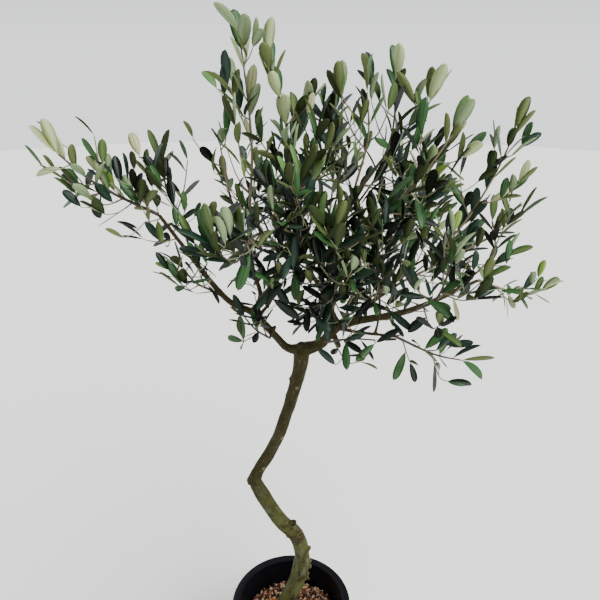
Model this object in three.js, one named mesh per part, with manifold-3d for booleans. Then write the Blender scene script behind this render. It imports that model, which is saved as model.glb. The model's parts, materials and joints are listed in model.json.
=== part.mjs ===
// Potted olive tree: an S-bent trunk in a black nursery pot, carrying an open, airy crown.
// Millimetres, +Z up. The origin is the centre of the pot's flat underside, +X is to the right
// of the tree's front view and +Y goes to its back.
import * as THREE from 'three';
import { mergeVertices } from 'three/addons/utils/BufferGeometryUtils.js';
import Module from 'manifold-3d';

const wasm = await Module();
wasm.setup();

// Pot: a moulded nursery pot, wider at the top, with a shoulder and a flat rolled rim
const POT_HEIGHT = 210;
const POT_RIM_RADIUS = 120;
const POT_MOUTH_RADIUS = 104.5;
const POT_BASE_RADIUS = 80;
const POT_WALL = 2.5;
const POT_SHOULDER_HEIGHT = 140;
const POT_LIP_DROP = 14;
const POT_LIP_THICKNESS = 2.5;
const POT_RIM_THICKNESS = 4;
const POT_RIM_BEVEL = 2;
const POT_MOUTH_BEVEL = 1.5;
const POT_FOOT_BEVEL = 3;
const POT_SHOULDER_RISE = 4;
const POT_INNER_SHOULDER_RISE = 6;
const POT_SIDES = 30;
const DRAIN_HOLES = 8;
const DRAIN_HOLE_RADIUS = 5;
const DRAIN_HOLE_SIDES = 8;
const DRAIN_CIRCLE_RADIUS = 62;

// Growing mix inside the pot, with a level top and a little slack at its foot and its edge
const SOIL_TOP = 147;
const SOIL_FOOT_SLACK = 0.5;
const SOIL_EDGE_SLACK = 2;

// Every solid keeps this gap to the one that carries it
const GAP = 0.3;

// Trunk: where its middle runs from the soil to the fork, with its thickness there
const TRUNK = [
  { at: [-22, 0, 147], thick: 42 },
  { at: [-17, 0, 172], thick: 37.5 },
  { at: [-9, 1, 208], thick: 34.5 },
  { at: [4, 2, 242], thick: 32.5 },
  { at: [17, 5, 285], thick: 32 },
  { at: [22, 5, 335], thick: 29.5 },
  { at: [10, 0, 388], thick: 30 },
  { at: [-18, -9, 430], thick: 27 },
  { at: [-44, -15, 482], thick: 26 },
  { at: [-63, -12, 525], thick: 24 },
  { at: [-59, -7, 549], thick: 22 },
  { at: [-38, 1, 580], thick: 21.5 },
  { at: [-16, 8, 625], thick: 21.5 },
  { at: [5, 11, 695], thick: 20.5 },
  { at: [18, 5, 752], thick: 20.5 },
  { at: [21, 0, 788], thick: 25 },
  { at: [21, 0, 800], thick: 14 },
];
const TRUNK_SIDES = 10;
const TRUNK_RINGS_PER_SPAN = 2;
const FLARE_HEIGHT = 55;
const FLARE_SWELL = 0.16;
const FLARE_ROOTS = 4;
const TRUNK_KEEP_OUT = TRUNK[0].thick / 2;
const GROUND_BLOCK = 200;

// Pruned stubs, bud scars and swellings on the trunk: height, bearing in degrees from +X
// towards +Y, radius at the bark and at the end, and how far the end stands out of the bark
const KNOTS = [
  { height: 420, bearing: -20, radius: 7, end: 5, out: 8 },
  { height: 452, bearing: -40, radius: 4.5, end: 3, out: 2.5 },
  { height: 526, bearing: 180, radius: 9, end: 4.5, out: 4.5 },
  { height: 340, bearing: -10, radius: 7, end: 4, out: 4 },
  { height: 300, bearing: -25, radius: 6.5, end: 4, out: 4 },
  { height: 277, bearing: -12, radius: 5, end: 3.5, out: 3.5 },
  { height: 724, bearing: 175, radius: 5, end: 3.5, out: 2.5 },
];
const KNOT_LIFT = 0.25;
const KNOT_SIDES = 7;

// Limbs. Each bough leaves a parent limb at a share of its length and runs through its way
// points, tapering between two thicknesses, to where its foliage takes over. The foliage's
// own stem then runs on through leafy, with a number of side twigs, and all its twigs and
// leaves stay within reach of that stem.
const LIMBS = [
  { name: 'left_arm', from: 'trunk', share: 0.985, thick: [14, 5.5],
    way: [[0, 1, 796], [-58, -5, 861], [-104, -15, 894], [-187, -40, 1031]],
    leafy: [[-262, -55, 1076], [-310, -65, 1122]], reach: 66, twigs: 5 },
  { name: 'right_arm', from: 'trunk', share: 0.985, thick: [18.5, 5.5],
    way: [[52, -4, 803], [88, -8, 840], [192, -10, 865], [299, -8, 917]],
    leafy: [[336, -8, 903], [376, -8, 892], [396, -8, 898]], reach: 52, twigs: 4 },
  { name: 'left_rise', from: 'left_arm', share: 0.34, thick: [8.5, 5],
    way: [[-46, 6, 886], [-58, 20, 928], [-64, 38, 1000]],
    leafy: [[-55, 33, 1100], [-57, 12, 1190], [-71, -2, 1268]], reach: 72, twigs: 6 },
  { name: 'top_left', from: 'left_rise', share: 0.72, thick: [5.5, 4.5],
    way: [[-82, 34, 1005], [-92, 28, 1050]],
    leafy: [[-98, 14, 1110], [-111, 4, 1162]], reach: 42, twigs: 3 },
  { name: 'left_inner', from: 'left_rise', share: 0.15, thick: [6.5, 4.5],
    way: [[-30, -25, 912], [-8, -60, 948]],
    leafy: [[18, -98, 985], [12, -112, 1040], [18, -120, 1092]], reach: 80, twigs: 5 },
  { name: 'left_front', from: 'left_inner', share: 0.8, thick: [5, 4],
    way: [[-14, -84, 990], [-26, -120, 1030]],
    leafy: [[-44, -158, 1032], [-64, -180, 1006], [-88, -190, 1030]], reach: 66, twigs: 4 },
  { name: 'back_left', from: 'left_arm', share: 0.3, thick: [6.5, 4.5],
    way: [[-28, 32, 872], [-24, 84, 910]],
    leafy: [[-36, 122, 955], [-62, 150, 1005], [-84, 163, 1062]], reach: 85, twigs: 5 },
  { name: 'left_upper', from: 'left_arm', share: 0.72, thick: [5.5, 4.5],
    way: [[-152, -14, 975], [-162, 0, 1016]],
    leafy: [[-182, 8, 1052], [-188, 12, 1094]], reach: 66, twigs: 3 },
  { name: 'left_low', from: 'left_arm', share: 0.5, thick: [5, 4],
    way: [[-122, -34, 912]],
    leafy: [[-140, -54, 932], [-152, -66, 958]], reach: 50, twigs: 3 },
  { name: 'lower_left', from: 'left_arm', share: 0.2, thick: [5, 4],
    way: [[-30, -30, 826]],
    leafy: [[-50, -50, 850], [-66, -60, 876]], reach: 55, twigs: 3 },
  { name: 'centre', from: 'right_arm', share: 0.25, thick: [9.5, 5.5],
    way: [[60, 3, 882], [31, 10, 934], [15, 12, 990]],
    leafy: [[0, 8, 1045], [0, 0, 1140], [-25, -12, 1240]], reach: 75, twigs: 6 },
  { name: 'top_middle', from: 'centre', share: 0.88, thick: [5.5, 4.5],
    way: [[32, -8, 1000], [36, -28, 1036]],
    leafy: [[36, -42, 1094], [41, -50, 1150]], reach: 70, twigs: 5 },
  { name: 'diagonal', from: 'centre', share: 0.6, thick: [7, 5],
    way: [[60, 16, 985], [92, 22, 1032]],
    leafy: [[151, 30, 1110], [207, 30, 1180]], reach: 75, twigs: 6 },
  { name: 'top_near_right', from: 'diagonal', share: 0.45, thick: [5, 4],
    way: [[76, 46, 1034]],
    leafy: [[84, 72, 1112], [82, 80, 1190]], reach: 66, twigs: 5 },
  { name: 'top_far_right', from: 'diagonal', share: 0.85, thick: [5, 4],
    way: [[102, 14, 1062]],
    leafy: [[118, 12, 1132], [114, 14, 1196]], reach: 66, twigs: 5 },
  { name: 'top_back_right', from: 'diagonal', share: 0.7, thick: [5, 4],
    way: [[108, 62, 1020], [140, 88, 1056]],
    leafy: [[166, 98, 1132], [166, 98, 1208]], reach: 72, twigs: 5 },
  { name: 'right_diagonal', from: 'centre', share: 0.45, thick: [6.5, 4.5],
    way: [[78, -18, 968], [110, -30, 1006]],
    leafy: [[150, -46, 1044], [190, -60, 1096], [222, -66, 1148]], reach: 78, twigs: 6 },
  { name: 'right_middle', from: 'right_arm', share: 0.31, thick: [8, 5],
    way: [[130, 30, 856], [190, 58, 888]],
    leafy: [[262, 78, 918], [330, 92, 950], [388, 98, 990]], reach: 80, twigs: 5 },
  { name: 'right_upper', from: 'right_middle', share: 0.45, thick: [6, 4.5],
    way: [[178, 30, 908], [219, 18, 945]],
    leafy: [[262, 8, 992], [301, 0, 1068], [326, -12, 1148]], reach: 68, twigs: 5 },
  { name: 'right_rise', from: 'right_arm', share: 0.88, thick: [5, 4],
    way: [[306, 14, 926]],
    leafy: [[330, 26, 948], [328, 26, 976], [320, 24, 1004]], reach: 58, twigs: 3 },
  { name: 'right_low', from: 'right_arm', share: 0.24, thick: [7, 4.5],
    way: [[108, -40, 842], [165, -62, 845]],
    leafy: [[222, -80, 824], [262, -92, 820]], reach: 64, twigs: 4 },
  { name: 'front_rise', from: 'right_low', share: 0.7, thick: [5, 4],
    way: [[138, -72, 890]],
    leafy: [[130, -84, 950], [116, -98, 1036]], reach: 75, twigs: 5 },
  { name: 'back_middle', from: 'centre', share: 0.3, thick: [6.5, 4.5],
    way: [[66, 52, 930], [66, 96, 980]],
    leafy: [[74, 138, 1028], [80, 168, 1088]], reach: 85, twigs: 4 },
  { name: 'back_right', from: 'right_middle', share: 0.6, thick: [6, 4.5],
    way: [[172, 98, 920]],
    leafy: [[208, 148, 968], [240, 178, 1040]], reach: 85, twigs: 5 },
  { name: 'back_low', from: 'right_arm', share: 0.29, thick: [5.5, 4.5],
    way: [[100, 50, 850]],
    leafy: [[130, 112, 872], [174, 162, 900]], reach: 80, twigs: 4 },
  { name: 'front_middle', from: 'centre', share: 0.2, thick: [5.5, 4.5],
    way: [[70, -50, 892]],
    leafy: [[68, -108, 940], [62, -156, 1040]], reach: 80, twigs: 5 },
  { name: 'front_right', from: 'right_arm', share: 0.6, thick: [5.5, 4.5],
    way: [[196, -56, 888]],
    leafy: [[212, -110, 930], [218, -152, 1004]], reach: 80, twigs: 5 },
  { name: 'lower_front', from: 'right_arm', share: 0.14, thick: [5, 4],
    way: [[62, -44, 826]],
    leafy: [[94, -88, 854], [128, -108, 862]], reach: 56, twigs: 3 },
];
const BOUGH_SIDES = 6;
const BOUGH_STEP = 50;
const FEWEST_STEPS = 2;
const PATH_STEPS_PER_SPAN = 6;
const PATH_TENSION = 0.5;

// Twigs: side twigs leave the stem in turn about it and bend up towards the light
const TWIG_SIDES = 3;
const STEM_THICKNESS = [4, 3];
const TWIG_THICKNESS = [3.4, 2.6];
const TWIG_STEP = 54;
const TWIG_FIRST_SHARE = 0.08;
const TWIG_LAST_SHARE = 0.72;
const TWIG_DRIFT = 0.6;
const TWIG_LENGTH = 84;
const TWIG_LENGTH_SHARES = [1.15, 0.55];
const TWIG_LENGTH_SPREAD = [0.75, 1.25];
const TWIG_LEAN = 52;
const TWIG_BEND_SHARE = 0.5;
const TWIG_END_SHARE = 0.92;
const TWIG_LIFT = 0.35;
const TWIG_CUTS = [1, 0.8, 0.6];
const TURN_BETWEEN_TWIGS = 137.5;
const SHORTEST_TWIG = 30;

// Leaves: opposite pairs, each pair a quarter turn from the last, and a tuft at each tip
const LEAF_LENGTH = 66;
const LEAF_WIDTH = 22;
const LEAF_THICKNESS = 2;
const LEAF_WIDEST_SHARE = 0.45;
const LEAF_SIZE_SPREAD = [0.85, 1.15];
const LEAF_CUTS = [1, 0.75];
const LEAF_LEAN = 42;
const LEAF_LEAN_SPREAD = [0.85, 1.15];
const LEAF_RISE = 0.2;
const LEAF_ROOT_DEPTH = 1;
const TIP_LEAF_LEAN = 23;
const TIP_LEAF_SIZE_SPREAD = [0.66, 0.86];
const TURN_BETWEEN_PAIRS = 90;
const PAIR_SPACING = 70;
const FIRST_PAIR = 26;
const CLEARANCE = 2.5;
const HANG_HEIGHT = 880;
const HANG_RANGE = 120;
const LEAF_SEED = 100;

// Faces of a leaf over its root, right edge, top, left edge, underside and tip, in that order
const LEAF_FACES = [0, 1, 2, 0, 2, 3, 0, 3, 4, 0, 4, 1, 5, 2, 1, 5, 3, 2, 5, 4, 3, 5, 1, 4];

// Constants of the random numbers, a linear congruential generator of 32 bits
const RANDOM_RANGE = 4294967296;
const RANDOM_FACTOR = 1664525;
const RANDOM_STEP = 1013904223;
const SEED_FACTOR = 2654435761;

const UP = new THREE.Vector3(0, 0, 1);
const DEGREE = Math.PI / 180;
const FULL_TURN = 360;
const HALF_TURN = 180;
const MERGE_DISTANCE = 1e-4;
const SMALLEST_SIDE = 0.05;

const finishes = {
  pot: { color: 0x23262b, roughness: 0.5, metalness: 0 },
  soil: { color: 0x8a5a3c, roughness: 0.95, metalness: 0 },
  bark: { color: 0x6b6748, roughness: 0.85, metalness: 0 },
  foliage: { color: 0x5c7a50, roughness: 0.55, metalness: 0 },
};

// Even random numbers from 0 to 1 that are the same on every run
function seeded(seed) {
  let state = (seed * SEED_FACTOR) % RANDOM_RANGE;
  return () => {
    state = (state * RANDOM_FACTOR + RANDOM_STEP) % RANDOM_RANGE;
    return state / RANDOM_RANGE;
  };
}

function between([low, high], share) {
  return THREE.MathUtils.lerp(low, high, share);
}

// A way through space that can be asked for a place, a direction or a distance
class Path {
  constructor(points) {
    this.points = points;
    this.lengths = [0];
    for (let i = 1; i < points.length; i++) {
      this.lengths.push(this.lengths[i - 1] + points[i].distanceTo(points[i - 1]));
    }
    this.length = this.lengths[points.length - 1];
  }

  static smooth(waypoints, stepsPerSpan) {
    const points = waypoints.map((p) => (p.isVector3 ? p : new THREE.Vector3(...p)));
    const curve = new THREE.CatmullRomCurve3(points, false, 'catmullrom', PATH_TENSION);
    return new Path(curve.getPoints((points.length - 1) * stepsPerSpan));
  }

  // The same way in even straight steps, as a tube along it is built
  inSteps(step) {
    const steps = Math.max(FEWEST_STEPS, Math.round(this.length / step));
    return new Path(Array.from({ length: steps + 1 }, (_, i) => this.at(i / steps)));
  }

  span(share) {
    const run = share * this.length;
    let i = 1;
    while (i < this.points.length - 1 && this.lengths[i] < run) i++;
    return { i, part: (run - this.lengths[i - 1]) / (this.lengths[i] - this.lengths[i - 1]) };
  }

  at(share) {
    const { i, part } = this.span(share);
    return this.points[i - 1].clone().lerp(this.points[i], part);
  }

  heading(share) {
    const { i } = this.span(share);
    return this.points[i].clone().sub(this.points[i - 1]).normalize();
  }

  // The direction at a bend between two steps, halfway between theirs
  bend(index) {
    const before = this.points[Math.max(index - 1, 0)];
    const after = this.points[Math.min(index + 1, this.points.length - 1)];
    const here = this.points[index];
    const arriving = here.clone().sub(before).normalize();
    return arriving.add(after.clone().sub(here).normalize()).normalize();
  }

  // Distance from a point to the path, and the share of the path where it is nearest
  nearest(point) {
    let best = { distance: Infinity, share: 0 };
    for (let i = 1; i < this.points.length; i++) {
      const line = new THREE.Line3(this.points[i - 1], this.points[i]);
      const part = line.closestPointToPointParameter(point, true);
      const distance = line.at(part, new THREE.Vector3()).distanceTo(point);
      if (distance < best.distance) {
        const run = this.lengths[i - 1] + part * line.distance();
        best = { distance, share: run / this.length };
      }
    }
    return best;
  }
}

// A closed tube with a ring at each point of a path; radiusAt gives its radius from a share of
// the path and an angle
function tubeGeometry(path, radiusAt, sides) {
  const positions = [];
  const triangles = [];
  let side = new THREE.Vector3(1, 0, 0);
  path.points.forEach((centre, ring) => {
    const heading = path.bend(ring);
    side = side.clone().projectOnPlane(heading);
    if (side.length() < SMALLEST_SIDE) side = new THREE.Vector3(0, 1, 0).cross(heading);
    side.normalize();
    const other = heading.clone().cross(side);
    for (let k = 0; k < sides; k++) {
      const angle = (k / sides) * 2 * Math.PI;
      const radius = radiusAt(path.lengths[ring] / path.length, angle);
      const point = centre.clone();
      point.addScaledVector(side, radius * Math.cos(angle));
      point.addScaledVector(other, radius * Math.sin(angle));
      positions.push(...point.toArray());
    }
  });
  const rings = path.points.length;
  for (let ring = 0; ring < rings - 1; ring++) {
    for (let k = 0; k < sides; k++) {
      const a = ring * sides + k;
      const b = ring * sides + ((k + 1) % sides);
      triangles.push(a, b, a + sides, b, b + sides, a + sides);
    }
  }
  const last = (rings - 1) * sides;
  for (let k = 1; k < sides - 1; k++) {
    triangles.push(0, k + 1, k);
    triangles.push(last, last + k, last + k + 1);
  }
  const geometry = new THREE.BufferGeometry();
  geometry.setAttribute('position', new THREE.Float32BufferAttribute(positions, 3));
  geometry.setIndex(triangles);
  return geometry;
}

function taper(path, thick, sides, grow = 0) {
  return solid(tubeGeometry(path, (share) => between(thick, share) / 2 + grow, sides));
}

// A leaf: a flat blade of eight faces with a narrow root and a pointed tip
function leafGeometry(leaf) {
  const across = leaf.axis.clone().cross(leaf.face).normalize();
  const widest = leaf.root.clone().addScaledVector(leaf.axis, LEAF_WIDEST_SHARE * leaf.length);
  const corners = [
    leaf.root.clone().addScaledVector(leaf.axis, -LEAF_ROOT_DEPTH),
    widest.clone().addScaledVector(across, leaf.width / 2),
    widest.clone().addScaledVector(leaf.face, LEAF_THICKNESS / 2),
    widest.clone().addScaledVector(across, -leaf.width / 2),
    widest.clone().addScaledVector(leaf.face, -LEAF_THICKNESS / 2),
    leaf.root.clone().addScaledVector(leaf.axis, leaf.length),
  ];
  const geometry = new THREE.BufferGeometry();
  const positions = corners.flatMap((corner) => corner.toArray());
  geometry.setAttribute('position', new THREE.Float32BufferAttribute(positions, 3));
  geometry.setIndex(LEAF_FACES);
  return geometry;
}

function solid(geometry) {
  const bare = geometry.clone();
  bare.deleteAttribute('normal');
  bare.deleteAttribute('uv');
  const merged = mergeVertices(bare, MERGE_DISTANCE);
  return new wasm.Manifold(new wasm.Mesh({
    numProp: 3,
    vertProperties: new Float32Array(merged.attributes.position.array),
    triVerts: new Uint32Array(merged.index.array),
  }));
}

// The largest piece of a solid, so that a cut leaves no loose scrap
function largest(body) {
  const pieces = body.decompose();
  pieces.sort((a, b) => b.volume() - a.volume());
  return pieces[0];
}

function meshOf(name, body, finish) {
  const { vertProperties, triVerts } = body.getMesh();
  const geometry = new THREE.BufferGeometry();
  geometry.setAttribute('position', new THREE.Float32BufferAttribute(vertProperties, 3));
  geometry.setIndex(new THREE.BufferAttribute(triVerts, 1));
  geometry.computeVertexNormals();
  const mesh = new THREE.Mesh(geometry, new THREE.MeshStandardMaterial(finish));
  mesh.name = name;
  return mesh;
}

function lathe(profile, sides) {
  const points = profile.map(([radius, height]) => new THREE.Vector2(radius, height));
  const geometry = new THREE.LatheGeometry(points, sides);
  geometry.rotateX(Math.PI / 2);
  return solid(geometry);
}

// Radius of the pot's outer wall below the shoulder
function potRadius(height) {
  const share = height / POT_SHOULDER_HEIGHT;
  return POT_BASE_RADIUS + share * (POT_MOUTH_RADIUS - POT_WALL - POT_BASE_RADIUS);
}

function makePot() {
  const shoulder = POT_MOUTH_RADIUS + POT_WALL;
  const rimUnder = POT_HEIGHT - POT_RIM_THICKNESS;
  const lipBottom = POT_HEIGHT - POT_LIP_DROP;
  const profile = [
    [0, 0],
    [POT_BASE_RADIUS - POT_FOOT_BEVEL, 0],
    [POT_BASE_RADIUS, POT_FOOT_BEVEL],
    [potRadius(POT_SHOULDER_HEIGHT), POT_SHOULDER_HEIGHT],
    [shoulder, POT_SHOULDER_HEIGHT + POT_SHOULDER_RISE],
    [shoulder, rimUnder],
    [POT_RIM_RADIUS - POT_LIP_THICKNESS, rimUnder],
    [POT_RIM_RADIUS - POT_LIP_THICKNESS, lipBottom],
    [POT_RIM_RADIUS, lipBottom],
    [POT_RIM_RADIUS, POT_HEIGHT - POT_RIM_BEVEL],
    [POT_RIM_RADIUS - POT_RIM_BEVEL, POT_HEIGHT],
    [POT_MOUTH_RADIUS + POT_MOUTH_BEVEL, POT_HEIGHT],
    [POT_MOUTH_RADIUS, POT_HEIGHT - POT_MOUTH_BEVEL],
    [POT_MOUTH_RADIUS, POT_SHOULDER_HEIGHT + POT_INNER_SHOULDER_RISE],
    [potRadius(POT_SHOULDER_HEIGHT) - POT_WALL, POT_SHOULDER_HEIGHT],
    [potRadius(POT_WALL) - POT_WALL, POT_WALL],
    [0, POT_WALL],
  ];
  const drill = [DRAIN_HOLE_RADIUS, DRAIN_HOLE_RADIUS, 4 * POT_WALL, DRAIN_HOLE_SIDES];
  let pot = lathe(profile, POT_SIDES);
  for (let i = 0; i < DRAIN_HOLES; i++) {
    const angle = (i / DRAIN_HOLES) * 2 * Math.PI;
    const hole = new THREE.CylinderGeometry(...drill);
    hole.rotateX(Math.PI / 2);
    hole.translate(DRAIN_CIRCLE_RADIUS * Math.cos(angle), DRAIN_CIRCLE_RADIUS * Math.sin(angle), 0);
    pot = pot.subtract(solid(hole));
  }
  return pot;
}

function makeSoil() {
  const bottom = POT_WALL + GAP;
  const inset = POT_WALL + GAP;
  return lathe([
    [0, bottom],
    [potRadius(bottom) - inset - SOIL_FOOT_SLACK, bottom],
    [potRadius(POT_SHOULDER_HEIGHT) - inset, POT_SHOULDER_HEIGHT - GAP],
    [POT_MOUTH_RADIUS - GAP - SOIL_EDGE_SLACK, SOIL_TOP],
    [0, SOIL_TOP],
  ], POT_SIDES);
}

// The trunk's thickness, read between its way points, swells into lobes over its roots
function trunkRadius(path, share, angle) {
  const marks = path.lengths.filter((_, i) => i % TRUNK_RINGS_PER_SPAN === 0);
  const run = share * path.length;
  let i = 1;
  while (i < marks.length - 1 && marks[i] < run) i++;
  const part = (run - marks[i - 1]) / (marks[i] - marks[i - 1]);
  const height = path.at(share).z - SOIL_TOP;
  const flare = Math.max(0, 1 - height / FLARE_HEIGHT) ** 2;
  const lobes = 1 + flare * FLARE_SWELL * Math.cos(FLARE_ROOTS * angle);
  return (between([TRUNK[i - 1].thick, TRUNK[i].thick], part) / 2) * lobes;
}

function makeKnot(path, knot, grow) {
  const spot = path.points.findIndex((point) => point.z >= knot.height);
  const share = path.lengths[spot] / path.length;
  const bearing = knot.bearing * DEGREE;
  const outward = new THREE.Vector3(Math.cos(bearing), Math.sin(bearing), KNOT_LIFT).normalize();
  const length = trunkRadius(path, share, 0) + knot.out + grow;
  const stub = new THREE.CylinderGeometry(knot.end + grow, knot.radius + grow, length, KNOT_SIDES);
  stub.translate(0, length / 2, 0);
  stub.applyQuaternion(new THREE.Quaternion().setFromUnitVectors(new THREE.Vector3(0, 1, 0), outward));
  stub.translate(...path.at(share).toArray());
  return solid(stub);
}

function makeTrunk(path, grow = 0) {
  const radiusAt = (share, angle) => trunkRadius(path, share, angle) + grow;
  let trunk = solid(tubeGeometry(path, radiusAt, TRUNK_SIDES));
  for (const knot of KNOTS) trunk = trunk.add(makeKnot(path, knot, grow));
  const below = new THREE.BoxGeometry(GROUND_BLOCK, GROUND_BLOCK, GROUND_BLOCK);
  below.translate(TRUNK[0].at[0], TRUNK[0].at[1], SOIL_TOP + GAP - grow - GROUND_BLOCK / 2);
  return trunk.subtract(solid(below));
}

// A direction that leans away from a heading by an angle, on the side given by a turn about it
function lean(heading, turn, angle) {
  const side = heading.clone().cross(UP);
  if (side.length() < SMALLEST_SIDE) side.set(1, 0, 0);
  side.normalize().applyAxisAngle(heading, turn * DEGREE);
  const along = heading.clone().multiplyScalar(Math.cos(angle * DEGREE));
  return along.addScaledVector(side, Math.sin(angle * DEGREE)).normalize();
}

// The paths of every bough and of the stem that its foliage grows on
function layOutLimbs(trunkPath) {
  const paths = new Map([['trunk', trunkPath]]);
  return LIMBS.map((row, index) => {
    const way = [paths.get(row.from).at(row.share), ...row.way];
    const bough = Path.smooth(way, PATH_STEPS_PER_SPAN).inSteps(BOUGH_STEP);
    paths.set(row.name, bough);
    const tip = bough.at(1).addScaledVector(bough.heading(1), GAP);
    const stem = Path.smooth([tip, ...row.leafy], PATH_STEPS_PER_SPAN).inSteps(TWIG_STEP);
    return { ...row, bough, stem, seed: index + 1 };
  });
}

// Whether a point lies in a limb's own space: within reach of its stem, nearer to it than to
// any other stem, and clear of the wood
function inOwnSpace(point, limb, limbs, trunkPath) {
  const own = limb.stem.nearest(point).distance;
  if (own > limb.reach) return false;
  if (trunkPath.nearest(point).distance < TRUNK_KEEP_OUT) return false;
  for (const other of limbs) {
    if (other !== limb && other.stem.nearest(point).distance < own + CLEARANCE) return false;
    const { distance, share } = other.bough.nearest(point);
    if (distance < between(other.thick, share) / 2 + CLEARANCE) return false;
  }
  return true;
}

// Side twigs, spread along the stem and round it, cut short where they would leave the space
function growTwigs(limb, fits) {
  const random = seeded(limb.seed);
  const twigs = [{ path: limb.stem, thick: STEM_THICKNESS }];
  let turn = random() * FULL_TURN;
  for (let i = 0; i < limb.twigs; i++) {
    const spread = (i + random() * TWIG_DRIFT) / limb.twigs;
    const share = between([TWIG_FIRST_SHARE, TWIG_LAST_SHARE], spread);
    const vigour = between(TWIG_LENGTH_SHARES, share) * between(TWIG_LENGTH_SPREAD, random());
    turn += TURN_BETWEEN_TWIGS;
    const root = limb.stem.at(share);
    const heading = lean(limb.stem.heading(share), turn, TWIG_LEAN);
    for (const cut of TWIG_CUTS) {
      const run = TWIG_LENGTH * vigour * cut;
      const middle = root.clone().addScaledVector(heading, run * TWIG_BEND_SHARE);
      const end = root.clone().addScaledVector(heading, run * TWIG_END_SHARE);
      end.addScaledVector(UP, run * TWIG_LIFT);
      if (run >= SHORTEST_TWIG && fits(middle) && fits(end)) {
        const path = Path.smooth([root, middle, end], PATH_STEPS_PER_SPAN).inSteps(TWIG_STEP);
        twigs.push({ path, thick: TWIG_THICKNESS });
        break;
      }
    }
  }
  return twigs;
}

// Leaves in opposite pairs along a twig, and a closer pair at its tip. Leaves high in the
// crown reach for the light and leaves at its foot hang down.
function growLeaves(path, random, fits) {
  const leaves = [];
  const place = (share, turn, angle, size) => {
    const root = path.at(share);
    const heading = path.heading(share);
    const light = THREE.MathUtils.clamp((root.z - HANG_HEIGHT) / HANG_RANGE, -1, 1);
    const axis = lean(heading, turn, angle).addScaledVector(UP, LEAF_RISE * light).normalize();
    const face = heading.clone().add(UP).projectOnPlane(axis).normalize();
    for (const cut of LEAF_CUTS) {
      const scale = size * cut;
      const leaf = { root, axis, face, length: LEAF_LENGTH * scale, width: LEAF_WIDTH * scale };
      const widest = root.clone().addScaledVector(axis, LEAF_WIDEST_SHARE * leaf.length);
      const across = axis.clone().cross(face).multiplyScalar(leaf.width / 2);
      const tip = root.clone().addScaledVector(axis, leaf.length);
      if ([widest.clone().add(across), widest.clone().sub(across), tip].every(fits)) {
        leaves.push(leaf);
        break;
      }
    }
  };
  let turn = random() * HALF_TURN;
  for (let run = FIRST_PAIR; run < path.length - PAIR_SPACING / 2; run += PAIR_SPACING) {
    turn += TURN_BETWEEN_PAIRS;
    const angle = LEAF_LEAN * between(LEAF_LEAN_SPREAD, random());
    for (const half of [0, HALF_TURN]) {
      place(run / path.length, turn + half, angle, between(LEAF_SIZE_SPREAD, random()));
    }
  }
  turn += TURN_BETWEEN_PAIRS;
  for (const half of [0, HALF_TURN]) {
    place(1, turn + half, TIP_LEAF_LEAN, between(TIP_LEAF_SIZE_SPREAD, random()));
  }
  return leaves;
}

// One mass of foliage: its stem, side twigs and leaves fused into one solid
function makeFoliage(limb, limbs, trunkPath) {
  const fits = (point) => inOwnSpace(point, limb, limbs, trunkPath);
  const random = seeded(LEAF_SEED + limb.seed);
  const twigs = growTwigs(limb, fits);
  const parts = [];
  for (const twig of twigs) {
    parts.push(taper(twig.path, twig.thick, TWIG_SIDES));
    for (const leaf of growLeaves(twig.path, random, fits)) parts.push(solid(leafGeometry(leaf)));
  }
  return wasm.Manifold.union(parts);
}

// A later limb gives way to the earlier ones, so that each keeps its gap to what carries it
function makeBough(limb, earlier) {
  let bough = taper(limb.bough, limb.thick, BOUGH_SIDES);
  for (const wood of earlier) bough = bough.subtract(wood);
  return largest(bough);
}

const tree = new THREE.Group();
tree.name = 'potted_olive_tree';
tree.add(meshOf('pot', makePot(), finishes.pot));
tree.add(meshOf('soil', makeSoil(), finishes.soil));

const trunkPath = Path.smooth(TRUNK.map((point) => point.at), TRUNK_RINGS_PER_SPAN);
tree.add(meshOf('trunk', makeTrunk(trunkPath), finishes.bark));

const limbs = layOutLimbs(trunkPath);
const earlier = [makeTrunk(trunkPath, GAP)];
for (const limb of limbs) {
  tree.add(meshOf(`bough_${limb.name}`, makeBough(limb, earlier), finishes.bark));
  earlier.push(taper(limb.bough, limb.thick, BOUGH_SIDES, GAP));
}
limbs.forEach((limb, i) => {
  const foliage = makeFoliage(limb, limbs, trunkPath).subtract(earlier[i + 1]);
  tree.add(meshOf(`foliage_${limb.name}`, largest(foliage), finishes.foliage));
});

export default tree;
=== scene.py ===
"""A potted olive tree: a small olive with an S-bent trunk and an open crown, in a black nursery
pot filled with bark chips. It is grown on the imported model's frame, in metres and +Z up."""
import json
import math
from bisect import bisect_left
from functools import cache
from itertools import chain, pairwise, product
from typing import NamedTuple

import bmesh
import bpy
import numpy as np
from bpy.props import FloatProperty, FloatVectorProperty, IntProperty, PointerProperty
from mathutils import Matrix, Vector, noise
from mathutils.kdtree import KDTree

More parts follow.
